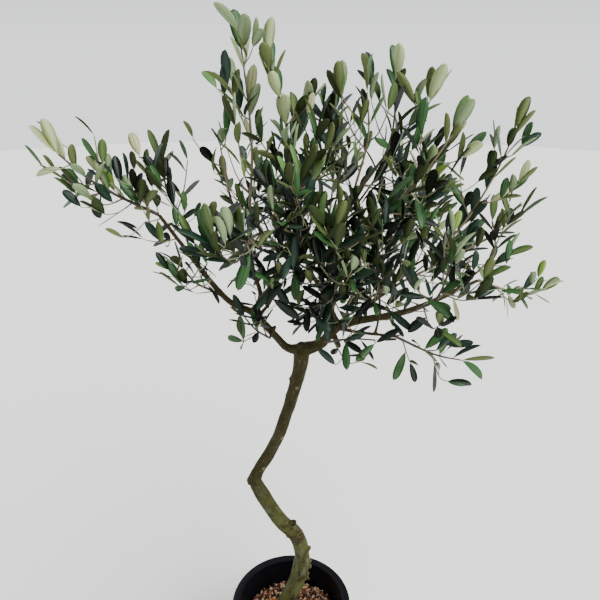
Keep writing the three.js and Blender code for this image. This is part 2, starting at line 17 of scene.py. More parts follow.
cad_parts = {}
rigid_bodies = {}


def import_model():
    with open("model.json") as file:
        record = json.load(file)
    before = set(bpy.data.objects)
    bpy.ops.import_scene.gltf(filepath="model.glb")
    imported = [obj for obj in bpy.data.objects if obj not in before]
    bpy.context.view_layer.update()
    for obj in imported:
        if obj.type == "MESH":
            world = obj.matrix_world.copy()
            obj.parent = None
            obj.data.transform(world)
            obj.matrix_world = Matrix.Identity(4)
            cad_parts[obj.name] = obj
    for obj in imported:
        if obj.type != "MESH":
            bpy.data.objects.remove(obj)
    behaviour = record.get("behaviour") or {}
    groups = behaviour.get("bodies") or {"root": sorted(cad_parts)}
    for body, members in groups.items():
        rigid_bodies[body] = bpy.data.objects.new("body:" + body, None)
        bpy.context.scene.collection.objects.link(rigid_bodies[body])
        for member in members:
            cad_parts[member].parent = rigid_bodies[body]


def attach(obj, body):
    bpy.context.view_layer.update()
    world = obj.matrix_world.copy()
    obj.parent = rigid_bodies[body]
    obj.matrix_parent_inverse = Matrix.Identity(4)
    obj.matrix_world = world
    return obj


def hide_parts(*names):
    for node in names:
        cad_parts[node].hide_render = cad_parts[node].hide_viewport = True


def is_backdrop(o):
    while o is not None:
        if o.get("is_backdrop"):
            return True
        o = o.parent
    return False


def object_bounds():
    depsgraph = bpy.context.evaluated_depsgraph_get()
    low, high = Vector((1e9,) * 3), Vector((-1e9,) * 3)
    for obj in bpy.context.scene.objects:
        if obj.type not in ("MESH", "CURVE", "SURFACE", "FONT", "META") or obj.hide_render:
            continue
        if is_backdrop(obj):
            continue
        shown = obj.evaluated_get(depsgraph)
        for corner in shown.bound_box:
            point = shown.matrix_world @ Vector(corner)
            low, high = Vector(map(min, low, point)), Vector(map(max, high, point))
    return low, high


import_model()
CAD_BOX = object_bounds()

bl_info = {
    "name": "Potted Olive Tree",
    "version": (1, 0, 0),
    "blender": (4, 5, 0),
    "location": "3D View > Sidebar > Olive Tree",
    "description": "Grows an olive tree on its trunk and boughs, with its pot and bark chips",
    "category": "Add Mesh",
}

# The tree's own measures are in millimetres, as a grower would note them
MM = 0.001
UP = Vector((0, 0, 1))
FULL_TURN = math.tau


class Limb(NamedTuple):
    """A bough that leaves its parent at a share of its length, and the stem its leaves grow on:
    how far its space reaches, how many twigs it has, how full of finer ones it is, how large its
    leaves are and what share of them is missing. The way points of both come last."""
    name: str
    parent: str
    share: float
    thick: tuple
    reach: float
    twigs: int
    full: float
    size: float
    bare: float
    way: tuple
    leafy: tuple


class Knot(NamedTuple):
    """A pruned stub, bud scar or swelling on the trunk, with its bearing in degrees, its radius
    at the trunk and at its end, and how far it stands out."""
    height: float
    bearing: float
    radius: float
    end: float
    out: float
    dead: bool = False


class Habit(NamedTuple):
    """How side shoots grow: from and to which share of their parent, with what drift, how long
    they are, how that changes along the parent, and how they lean and lift."""
    ends: tuple
    drift: float
    length: float
    lengths: tuple
    lean: float
    lift: float
    thick: tuple
    rank: int


# Where the middle of the trunk runs from the soil to the fork, and its thickness there
TRUNK = (
    ((-22, 0, 147), 42), ((-17, 0, 172), 37.5), ((-9, 1, 208), 34.5),
    ((4, 2, 242), 32.5), ((17, 5, 285), 32), ((22, 5, 335), 29.5),
    ((10, 0, 388), 30), ((-18, -9, 430), 27), ((-43, -15, 482), 27.5),
    ((-63, -12, 525), 24), ((-56, -7, 549), 22), ((-36, 1, 580), 21.5),
    ((-16, 8, 625), 21.5), ((5, 11, 695), 21.5), ((18, 5, 752), 24.5),
    ((21, 0, 788), 27), ((21, 0, 800), 14),
)
FLARE_HEIGHT, FLARE_SWELL, FLARE_ROOTS = 55, 0.16, 4
KNOTS = tuple(Knot(*row) for row in (
    (417, -12, 7.5, 6.2, 13, True), (411, -38, 4.5, 3, 7), (396, 200, 4.5, 3.2, 3.5),
    (447, -20, 4.5, 3, 3.5), (466, -15, 4, 2.5, 2.5), (526, 180, 10, 7, 3.6),
    (520, -80, 4, 3, 1.8), (392, -10, 8, 6, 2), (348, -12, 6.5, 5, 5), (336, -45, 4.5, 3, 3),
    (318, -25, 5, 4, 4), (303, -8, 6, 4.5, 6), (290, -30, 4.5, 3, 4), (277, -10, 6, 4, 6.5),
    (262, -20, 5, 3.5, 4.5), (724, 175, 5, 3.5, 2.5), (776, -75, 5.5, 3.5, 2.5),
))
# Round scars of shed buds: height and bearing on the trunk
SCARS = ((553, -62), (611, -52), (714, -76), (650, 60), (590, 120), (500, 100), (690, 160))
# Cut stubs at the fork: where each starts and ends, and its radius there
STUBS = (
    ((21, 0, 786), (20, -3, 804), 8.5, 8),
    ((72, -8, 824), (84, -15, 801), 5, 4.2),
    ((-30, -2, 822), (-22, -6, 836), 4.4, 3.2),
)
# Every bough after the one that it leaves, from the two arms of the fork on
LIMBS = tuple(Limb(*row) for row in (
    ("left_arm", "trunk", 0.985, (14, 5.5), 66, 5, 1.7, 0.85, 0.44,
     ((-3, 1, 793), (-22, -1, 815), (-58, -5, 859), (-104, -15, 894), (-187, -40, 1031)),
     ((-262, -55, 1076), (-310, -65, 1122))),
    ("right_arm", "trunk", 0.985, (18.5, 5.5), 52, 4, 1, 0.66, 0.22,
     ((52, -4, 803), (88, -8, 840), (192, -10, 865), (299, -8, 917)),
     ((336, -8, 903), (376, -8, 892), (400, -8, 899))),
    ("left_rise", "left_arm", 0.34, (8.5, 5), 72, 6, 0.6, 1.1, 0.42,
     ((-46, 6, 886), (-58, 20, 928), (-64, 38, 1000)),
     ((-55, 33, 1100), (-57, 12, 1190), (-66, -2, 1286))),
    ("top_left", "left_rise", 0.72, (5.5, 4.5), 42, 3, 1, 1, 0.22,
     ((-82, 34, 1005), (-92, 28, 1050)), ((-98, 14, 1110), (-111, 4, 1162))),
    ("left_inner", "left_rise", 0.15, (6.5, 4.5), 80, 5, 1.25, 1, 0.12,
     ((-30, -25, 912), (-8, -60, 948)), ((18, -98, 985), (12, -112, 1040), (18, -120, 1092))),
    ("left_front", "left_inner", 0.8, (5, 4), 66, 4, 0.7, 1, 0.22,
     ((-14, -84, 990), (-26, -120, 1030)),
     ((-44, -158, 1032), (-64, -180, 1006), (-88, -190, 1030))),
    ("back_left", "left_arm", 0.3, (6.5, 4.5), 85, 5, 0.4, 1, 0.58,
     ((-28, 32, 872), (-24, 84, 910)), ((-36, 122, 955), (-62, 150, 1005), (-84, 163, 1062))),
    ("left_upper", "left_arm", 0.72, (5.5, 4.5), 66, 3, 0.4, 1, 0.16,
     ((-152, -14, 975), (-162, 0, 1016)), ((-182, 8, 1052), (-188, 12, 1094))),
    ("left_low", "left_arm", 0.5, (5, 4), 50, 3, 0.8, 1, 0.5,
     ((-122, -34, 912),), ((-140, -54, 932), (-152, -66, 958))),
    ("lower_left", "left_arm", 0.2, (5, 4), 55, 3, 0.4, 1, 0.62,
     ((-30, -30, 826),), ((-50, -50, 850), (-66, -60, 876))),
    ("centre", "right_arm", 0.25, (9.5, 5.5), 75, 6, 1, 1, 0.3,
     ((60, 3, 882), (31, 10, 934), (15, 12, 990)), ((0, 8, 1045), (0, 0, 1140), (-25, -12, 1240))),
    ("top_middle", "centre", 0.88, (5.5, 4.5), 70, 5, 0.5, 1, 0.22,
     ((32, -8, 1000), (36, -28, 1036)), ((36, -42, 1094), (41, -50, 1150))),
    ("diagonal", "centre", 0.6, (7, 5), 75, 6, 0.7, 1, 0.38,
     ((60, 16, 985), (92, 22, 1032)), ((151, 30, 1110), (207, 30, 1180))),
    ("top_near_right", "diagonal", 0.45, (5, 4), 66, 5, 1, 1, 0.62,
     ((76, 46, 1034),), ((84, 72, 1112), (82, 80, 1190))),
    ("top_far_right", "diagonal", 0.85, (5, 4), 66, 5, 1, 1, 0.5,
     ((102, 14, 1062),), ((118, 12, 1132), (114, 14, 1196))),
    ("top_back_right", "diagonal", 0.7, (5, 4), 72, 5, 0.4, 1, 0.58,
     ((108, 62, 1020), (140, 88, 1056)), ((166, 98, 1132), (166, 98, 1208))),
    ("right_diagonal", "centre", 0.45, (6.5, 4.5), 78, 6, 0.6, 1, 0.46,
     ((78, -18, 968), (110, -30, 1006)), ((150, -46, 1044), (190, -60, 1096), (222, -66, 1148))),
    ("right_middle", "right_arm", 0.31, (8, 5), 80, 5, 1.4, 1, 0.2,
     ((130, 30, 856), (190, 58, 888)), ((262, 78, 918), (330, 92, 950), (388, 98, 990))),
    ("right_upper", "right_middle", 0.45, (6, 4.5), 68, 5, 1, 0.82, 0.42,
     ((178, 30, 908), (219, 18, 945)), ((262, 8, 992), (301, 0, 1068), (326, -12, 1148))),
    ("right_rise", "right_arm", 0.88, (5, 4), 58, 3, 1, 0.85, 0.22,
     ((306, 14, 926),), ((330, 26, 948), (328, 26, 976), (320, 24, 1004))),
    ("right_low", "right_arm", 0.24, (7, 4.5), 64, 4, 0.35, 1, 0.5,
     ((108, -40, 842), (165, -62, 845)), ((222, -80, 824), (262, -92, 820))),
    ("front_rise", "right_low", 0.7, (5, 4), 75, 5, 1, 1, 0.1,
     ((138, -72, 890),), ((130, -84, 950), (116, -98, 1036))),
    ("back_middle", "centre", 0.3, (6.5, 4.5), 85, 4, 0.6, 1, 0.4,
     ((66, 52, 930), (66, 96, 980)), ((74, 138, 1028), (80, 168, 1088))),
    ("back_right", "right_middle", 0.6, (6, 4.5), 85, 5, 1, 1, 0.5,
     ((172, 98, 920),), ((208, 148, 968), (240, 178, 1040))),
    ("back_low", "right_arm", 0.29, (5.5, 4.5), 80, 4, 0.8, 1, 0.1,
     ((100, 50, 850),), ((130, 112, 872), (174, 162, 900))),
    ("front_middle", "centre", 0.2, (5.5, 4.5), 80, 5, 1, 1, 0.14,
     ((70, -50, 892),), ((68, -108, 940), (62, -156, 1040))),
    ("front_right", "right_arm", 0.6, (5.5, 4.5), 80, 5, 0.4, 1, 0.55,
     ((196, -56, 888),), ((212, -110, 930), (218, -152, 1004))),
    ("lower_front", "right_arm", 0.14, (5, 4), 56, 3, 0.4, 1, 0.3,
     ((62, -44, 826),), ((94, -88, 854), (128, -108, 862))),
))

# The pot's sizes: its outside, its wall and shoulder, its rim, and the holes in its floor
POT_HEIGHT, POT_RIM_RADIUS, POT_MOUTH_RADIUS, POT_BASE_RADIUS = 210, 120, 104.5, 80
POT_WALL, POT_SHOULDER, POT_SHOULDER_RISE, POT_SHOULDER_INSIDE_RISE = 2.5, 140, 4, 6
POT_LIP_DROP, POT_LIP_THICKNESS, POT_RIM_THICKNESS, POT_STEPS = 14, 2.5, 4, 96
DRAIN_HOLES, DRAIN_RADIUS, DRAIN_CIRCLE, DRAIN_STEPS, DRILL_LENGTH = 8, 5, 62, 20, 20
ROUNDED_FROM, SHARP_FROM = math.radians(25), math.radians(40)

# The chips lie in the pot below its rim, in low mounds and clear of the trunk
SOIL_TOP, CHIP_REACH, CHIP_SIZES, CHIP_RISE = 147, 101.5, (3.5, 10), (-0.5, 6)
CHIP_WIDTHS, CHIP_HEIGHTS, CHIP_DENTS = (0.55, 0.95), (0.35, 0.75), (0.72, 1.2)
CHIP_ROLL, CHIP_PITCH, CHIP_CLEARANCE = (-0.7, 0.7), (-0.5, 0.5), 0.1
MOUND_HEIGHT, MOUND_WIDTH = 2.5, 30
# The last colour of the chips takes what the draw has over
CHIP_COLOURS, CHIP_DRAW = ("rust", "tan", "dark", "red", "pale"), 5.6

# The wood's tubes: how far the trunk goes into the chips, its radius at the fork, and their sides
TRUNK_SINK, FORK_RADIUS, WOOD_STEP = 6, 12, 4
TRUNK_SIDES, BOUGH_SIDES, STUB_SIDES = 32, 14, 12
# A collar swells the foot of a bough, and fades over so many radii and millimetres more
COLLAR, COLLAR_RADII, COLLAR_RUN = 0.32, 1.2, 2
# The shares of a stub's length where it has rings, and the rounding of its end
STUB_RINGS, STUB_ROUND_FROM, STUB_CURVE, STUB_FLAT = (0, 0.5, 0.8, 0.93, 1), 0.8, 20, 0.15

# The bark: smoothing of the fused tubes, and where a bough's own pattern starts
SMOOTHINGS, PATTERN_STEP, PATTERN_FROM, PATTERN_SHIFT = 2, 2.5, 0.6, 57
# Lumps, ridges and grain: their width, length, shift and height. They are lower on limbs of less
# than the first radius, and the bark is younger on limbs of less than the second
RELIEF = ((21, 30, 0, 1.15), (5.5, 26, 7, 0.75), (2.6, 7, 31, 0.32))
THICK_LIMB, YOUNG_LIMB, LEAST_RELIEF = 11, 9, 0.22
# Broken bark round the knots: its size, shift and share, its height and where it fades
BURLS, BURL_RISE, BURL_START, BURL_REACH = ((6, 3, 1), (2.9, 5, 0.7)), 1.9, 1.35, 1.7
# How bud scars and dead ends fade into the bark round them
SCAR_RADIUS, SCAR_RISE, SCAR_RIM, SCAR_FADE = 3.2, 0.5, 1, 1.5
DEAD_START, DEAD_FADE = 1.2, 3

# Noises in the finishes: scale, detail and roughness
STREAKS, PATCHES, MOSS, CRACKS = (420, 5, 0.62), (62, 4, 0.6), (34, 4, 0.6), (260, 3, 0.5)
BROKEN_BARK, BARK_GRAIN, CRUMBS = (330, 4, 0.65), (1500, 3, 0.6), (260, 4, 0.7)
DUST, SCUFFS, PLASTIC_GRAIN = (22, 5, 0.65), (75, 4, 0.6), (900, 2, 0.5)
# The size of pale specks, and the heights in metres between which the moss ends
SPECK_SCALE, MOSS_HEIGHTS = 150, (0.42, 0.56)

# The stage: the camera, the main light, the light from behind, the sky and the floor
CAMERA_PLACE, SENSOR = (0.018, -0.891, 1.258), 36
KEY_PLACE, KEY_SPREAD = (1.6, -1.1, 2.6), math.radians(50)
RIM_PLACE, RIM_SPREAD, RIM_SHARE = (-1.8, 1.4, 1.8), math.radians(60), 0.25
TOP_FILL, FILL_HEIGHT = 0.27, 0.36
FLOOR_RADIUS, FLOOR_STEPS = 8, 96

# Shorter than this across, a direction counts as straight
UPRIGHT = 0.05
STEPS_PER_SPAN, ROOM_STEP = 6, 20
RANDOM_RANGE, RANDOM_FACTOR, RANDOM_STEP, SEED_FACTOR = 2 ** 32, 1664525, 1013904223, 2654435761
STEM_SEED, LEAF_SEED, AGE_SEED, TWIG_SEED, CHIP_SEED = 1, 101, 200, 201, 300

# The rule that twigs grow by: those of the solids, then finer ones on the stem and the bough, and
# sprigs on the twigs
OPEN, CLOSE = (math.radians(52), 0.35), (math.radians(64), 0.16)
TWIGS = Habit((0.08, 0.72), 0.6, 84, (1.15, 0.55), *OPEN, (2.6, 1.5), 1)
FINE_TWIGS = Habit((0, 1), 1, 70, (1.1, 0.5), *CLOSE, (2.2, 1.3), 1)
BOUGH_TWIGS = Habit((0.45, 1), 1, 70, (1, 1), *CLOSE, (2.4, 1.3), 1)
SPRIGS = Habit((0.2, 0.85), 0.6, 48, (1.1, 0.6), *CLOSE, (1.7, 1.1), 2)
FINE_SPACING, BOUGH_SPACING, SPRIG_SPACING, FEWEST_SPRIGS = 26, 44, 34, 0.25
LENGTH_SPREAD, STEM_END, SHORTEST_TWIG, BOUGH_LIGHT = (0.75, 1.25), 2.2, 16, 0.8
TWIG_BEND, TWIG_END, TWIG_CUTS = 0.5, 0.92, (1, 0.8, 0.6)
TURN_BETWEEN_TWIGS = math.radians(137.5)
# How full of fine twigs the crown is by height, and where it thins out to the right
FULLNESS = ((820, 0.8), (870, 1.2), (920, 2.4), (990, 2.2), (1090, 0.35), (1200, 0.1))
THINNING = (180, 300)
# The crown's middle, and how far from it along X, Y and up the full light starts
CROWN_MIDDLE, CROWN_REACH = Vector((30, 0, 960)), (400, 320, 280)
# Space kept free round the wood and inside the box, shared between two stems, and round a leaf
CLEARANCE, BOX_MARGIN, SHARED_EDGE, LEAF_ROOM = 1.0, 1.5, 14, 9.5

# A twig's sides and steps, its knobs where leaves stood, and its age by rank and light
STEM_SIDES, TWIG_SIDES, STEM_STEP, TWIG_STEP = 7, 5, 5.6, 7
FIRST_KNOB, KNOB_SWELL, KNOB_LENGTH = 0.6, 0.22, 1.8
AGE_DRIFT, AGE_BY_LIGHT, AGES = 1.2, 0.5, (0.7, 1.7)
TWIG_FINISHES = (("old", 0.8), ("tan", 0.7), ("green", 0.6))

# The rule that leaves grow by: where the pairs stand, their sizes, and how many are missing
FIRST_PAIR, FIRST_DRIFT, LAST_PAIR, BARE_STEM = 0.6, 0.5, 0.35, 0.25
PAIR_TWIST, PAIR_SPACINGS, PAIR_SIZES, LEAF_SIZES = 0.3, (0.8, 1.2), (0.8, 1.12), (0.92, 1.08)
SIZE_ALONG, END_SIZES = (1, 0.82), ((0.9, 1.1), (0.6, 0.95), (0.55, 0.9))
INNER_SPREAD, OUTER_SPREAD, TIP_SPREAD = (1.0, 2.0), (0.6, 1.25), 0.5
INNER_SPACING, INNER_SIZE, INNER_WIDTH = (0.76, 1.04), (0.76, 1.1), (0.66, 1.08)
LOST_BY_LIGHT = (0.6, 1.3)
# How leaves rise or hang, roll and bow
LEAF_RISE, HANG_HEIGHT, HANG_RANGE = (0.05, 0.42), 880, 120
LEVEL_POWER, LEVEL_LIMIT, LEVEL_RISE, LEVEL_HANG = 1.4, -0.25, 0.55, -0.5
FACE_ALONG, LEAF_ROLL, WIDTH_POWER = 0.6, 1.3, 0.8
LEAF_ARCH, LEAF_FOLD = (-0.2, 0.14), (0.12, 0.5)
# A cell of the crown's space and those next to it
AROUND = tuple(product((-1, 0, 1), repeat=3))

# Leaf colours from the shaded inside of the crown to its young tips, dealt out by spray and light:
# the darker colours inside the crown are painted shade, the paler ones on the outer shoots painted
# light
SHADES = ("deep", "dark", "blue", "mid", "olive", "light", "young", "cream")
SHADE_SHARES, DARK_SHADES = (0.16, 0.40, 0.62, 0.80, 0.90, 0.95, 0.985, 1), 4
UNDERSIDES = ("dim", "dull", "sage", "silver", "pale")
# A shoot's tone follows its light, so its leaves take the painted shade colours inside the crown
# and the painted light ones outside it
TONE_BY_LIGHT, TONE_DRIFT, TIP_TONE = 0.75, 0.5, 0.15
SHADE_BY_CHANCE, SHADE_BY_TONE, SHADE_START = 0.66, 0.63, 0.26
UNDER_BY_TONE, UNDER_BY_FOLD, UNDER_START = 4.2, 2.2, 1.5
# Kind, names, roughness and gloss of the finishes of blades, undersides and ribs
LEAF_FINISHES = (("leaf", SHADES, 0.4, 0.32), ("underside", UNDERSIDES, 0.75, 0.12),
                 ("rib", ("dark", "pale"), 0.5, 0.3))

# Half the width of a leaf along its length, as shares of its whole length and half width
LEAF_OUTLINE = ((0, 0.07), (0.06, 0.1), (0.2, 0.54), (0.4, 0.88), (0.62, 1), (0.81, 0.87),
                (0.94, 0.54), (1, 0.07))
RIB_HALF, RIB_RISE, RIB_TAPER, UNDER_SWELL, LEAF_THICKNESS = 0.06, 0.5, 3, 1.6, 0.35


def seeded(seed):
    """Even random numbers from 0 to 1 that are the same on every run."""
    state = seed * SEED_FACTOR % RANDOM_RANGE

    def draw():
        nonlocal state
        state = (state * RANDOM_FACTOR + RANDOM_STEP) % RANDOM_RANGE
        return state / RANDOM_RANGE
    return draw


def between(ends, share):
    """The value, or the pair of values, at a share of the way from the first end to the last."""
    if isinstance(ends[0], tuple):
        return tuple(between(pair, share) for pair in zip(*ends))
    return ends[0] + (ends[1] - ends[0]) * share


def clamp(value, low=0.0, high=1.0):
    return max(low, min(high, value))


class Path:
    """A way through space that can be asked for a place or a direction."""

    def __init__(self, points):
        self.points = [Vector(p) for p in points]
        self.runs = [0.0]
        for a, b in pairwise(self.points):
            self.runs.append(self.runs[-1] + (b - a).length)
        self.length = self.runs[-1]

    @classmethod
    def smooth(cls, waypoints):
        """A Catmull-Rom curve through the way points."""
        inner = [Vector(p) for p in waypoints]
        ends = [2 * inner[0] - inner[1], *inner, 2 * inner[-1] - inner[-2]]
        points = [inner[0]]
        for a, b, c, d in zip(ends, ends[1:], ends[2:], ends[3:]):
            start, stop = (c - a) / 2, (d - b) / 2
            for k in range(1, STEPS_PER_SPAN + 1):
                t = k / STEPS_PER_SPAN
                points.append(b + start * t + (3 * (c - b) - 2 * start - stop) * t ** 2
                              + (2 * (b - c) + start + stop) * t ** 3)
        return cls(points)

    def split(self, steps, share=1):
        """The first share of the way, in equal steps."""
        return Path([self.at(i / steps * share) for i in range(steps + 1)])

    def in_steps(self, step):
        return self.split(max(2, round(self.length / step)))

    def span(self, share):
        run = share * self.length
        i = bisect_left(self.runs, run, 1, len(self.runs) - 1)
        return i, (run - self.runs[i - 1]) / (self.runs[i] - self.runs[i - 1])

    def at(self, share):
        i, part = self.span(share)
        return self.points[i - 1].lerp(self.points[i], part)

    def heading(self, share):
        i, _ = self.span(share)
        return (self.points[i] - self.points[i - 1]).normalized()

    def frames(self):
        """At each point: the direction of the path, and two directions across it that don't
        twist from one point to the next."""
        rows, side = [], Vector((1, 0, 0))
        for i, here in enumerate(self.points):
            before = self.points[max(i - 1, 0)]
            after = self.points[min(i + 1, len(self.points) - 1)]
            heading = (after - before).normalized()
            side = side - heading * side.dot(heading)
            if side.length < UPRIGHT:
                side = Vector((0, 1, 0)).cross(heading)
            side.normalize()
            rows.append((here, heading, side.copy(), heading.cross(side)))
        return rows


class Laid(NamedTuple):
    """A limb with the paths of its bough and of its leafy stem."""
    row: Limb
    bough: Path
    stem: Path
    index: int


@cache
def trunk_path():
    return Path.smooth([at for at, _ in TRUNK])


@cache
def limbs():
    paths, laid = {"trunk": trunk_path()}, []
    for index, row in enumerate(LIMBS):
        bough = Path.smooth([paths[row.parent].at(row.share), *row.way])
        paths[row.name] = bough
        laid.append(Laid(row, bough, Path.smooth([bough.at(1), *row.leafy]), index))
    return laid


def trunk_thickness(share):
    """The trunk's thickness, read between its way points."""
    path = trunk_path()
    marks = path.runs[::STEPS_PER_SPAN]
    run = share * path.length
    i = bisect_left(marks, run, 1, len(marks) - 1)
    part = (run - marks[i - 1]) / (marks[i] - marks[i - 1])
    return between((TRUNK[i - 1][1], TRUNK[i][1]), part)


def lean(heading, turn, angle):
    """A direction that leans away from a heading, on the side given by a turn about it."""
    side = heading.cross(UP)
    if side.length < UPRIGHT:
        side = Vector((1, 0, 0))
    side = Matrix.Rotation(turn, 3, heading) @ side.normalized()
    return (heading * math.cos(angle) + side * math.sin(angle)).normalized()


class Room:
    """The space that each limb's twigs and leaves may fill: within reach of its stem, not far
    past the middle between two stems, clear of the wood and inside the solids' box."""

    def __init__(self):
        stems, wood, owners, radii = [], [], [], []
        for index, limb in enumerate(limbs()):
            for a, b in pairwise(limb.stem.in_steps(ROOM_STEP).points):
                stems.append((a, b))
                owners.append(index)
            path = limb.bough.in_steps(ROOM_STEP)
            for k, (a, b) in enumerate(pairwise(path.points)):
                wood.append((a, b))
                radii.append(between(limb.row.thick, k / len(path.points)) / 2)
        for a, b in pairwise(trunk_path().in_steps(ROOM_STEP).points):
            wood.append((a, b))
            radii.append(TRUNK[0][1] / 2)
        self.stems, self.wood = np.array(stems), np.array(wood)
        self.owners, self.radii = np.array(owners), np.array(radii)
        low, high = (np.array(corner) / MM for corner in CAD_BOX)
        self.low, self.high = low + BOX_MARGIN, high - BOX_MARGIN

    @staticmethod
    def distances(points, spans):
        start, along = spans[:, 0], spans[:, 1] - spans[:, 0]
        offset = points[:, None] - start
        part = np.clip((offset * along).sum(2) / (along * along).sum(1), 0, 1)
        return np.linalg.norm(offset - along * part[..., None], axis=2)

    def holds(self, points, owner):
        points = np.array(points)
        stems = self.distances(points, self.stems)
        own = stems[:, self.owners == owner].min(axis=1)
        others = stems[:, self.owners != owner].min(axis=1)
        wood = (self.distances(points, self.wood) - self.radii).min(axis=1)
        inside = ((points > self.low) & (points < self.high)).all(axis=1)
        near = (own <= LIMBS[owner].reach) & (others > own - SHARED_EDGE)
        return bool((near & (wood > CLEARANCE) & inside).all())


class Shoot(NamedTuple):
    """A stem, twig or sprig: its path, its thickness at both ends, how much light it gets, and
    where it leaves which shoot of its limb."""
    path: Path
    thick: tuple
    rank: int
    light: float
    parent: int = -1
    share: float = 0


class Leaf(NamedTuple):
    root: Vector
    axis: Vector
    face: Vector
    length: float
    width: float
    arch: float
    fold: float
    shade: int
    underside: int


def light_at(point):
    """How much light a place in the crown gets, from 0 inside it to 1 at its outer tips."""
    (x, y, z), (wide, deep, high) = point - CROWN_MIDDLE, CROWN_REACH
    return clamp(Vector((x / wide, y / deep, max(z, 0) / high)).length)


def fullness(point, limb):
    """How closely a limb's fine twigs stand at a point: close low inside the crown, open in its
    top and sides."""
    start, end = THINNING
    inside = clamp((end - point.x) / (end - start))
    return float(np.interp(point.z, *zip(*FULLNESS))) * inside * limb.row.full


def side_twig(habit, parent, share, turn, length, limb, room):
    """A twig that leaves its parent to one side and bends up towards the light, cut short where
    it would leave its limb's space."""
    root = parent.at(share)
    heading = lean(parent.heading(share), turn, habit.lean)
    for cut in TWIG_CUTS:
        run = length * cut
        middle = root + heading * run * TWIG_BEND
        end = root + heading * run * TWIG_END + UP * run * habit.lift
        if run >= SHORTEST_TWIG and room.holds([middle, end], limb.index):
            return Path.smooth([root, middle, end])
    return None


def spiral(turn):
    """The turns at which one twig after another leaves its parent."""
    while True:
        turn += TURN_BETWEEN_TWIGS
        yield turn


def grow_shoots(limb, room):
    """A limb's stem, and all that grows on it by the habits."""
    stem, bough = limb.stem, limb.bough
    shoots = [Shoot(stem, (limb.row.thick[1], STEM_END), 0, light_at(stem.at(1)))]

    def grow(habit, path, count, turns, parent, light=1):
        for i in range(count):
            share = between(habit.ends, (i + draw() * habit.drift) / count)
            length = habit.length * between(habit.lengths, share) * between(LENGTH_SPREAD, draw())
            twig = side_twig(habit, path, share, next(turns), length, limb, room)
            if twig:
                lit = light_at(twig.at(1)) * light
                shoots.append(Shoot(twig, habit.thick, habit.rank, lit, parent, share))

    draw = seeded(STEM_SEED + limb.index)
    grow(TWIGS, stem, limb.row.twigs, spiral(draw() * FULL_TURN), 0)
    draw = seeded(TWIG_SEED + limb.index)
    turns = spiral(draw() * FULL_TURN)
    count = stem.length / FINE_SPACING * fullness(stem.at(0.5), limb)
    grow(FINE_TWIGS, stem, round(count), turns, 0)
    count = bough.length * (1 - BOUGH_TWIGS.ends[0]) / BOUGH_SPACING * fullness(bough.at(0.8), limb)
    grow(BOUGH_TWIGS, bough, round(count), turns, -1, BOUGH_LIGHT)
    for index, (path, *_) in enumerate(shoots[1:], 1):
        full = clamp(fullness(path.at(0.5), limb), FEWEST_SPRIGS, 1)
        count = round((path.length / SPRIG_SPACING - 0.5) * full)
        grow(SPRIGS, path, count, spiral(draw() * FULL_TURN), index)
    return shoots


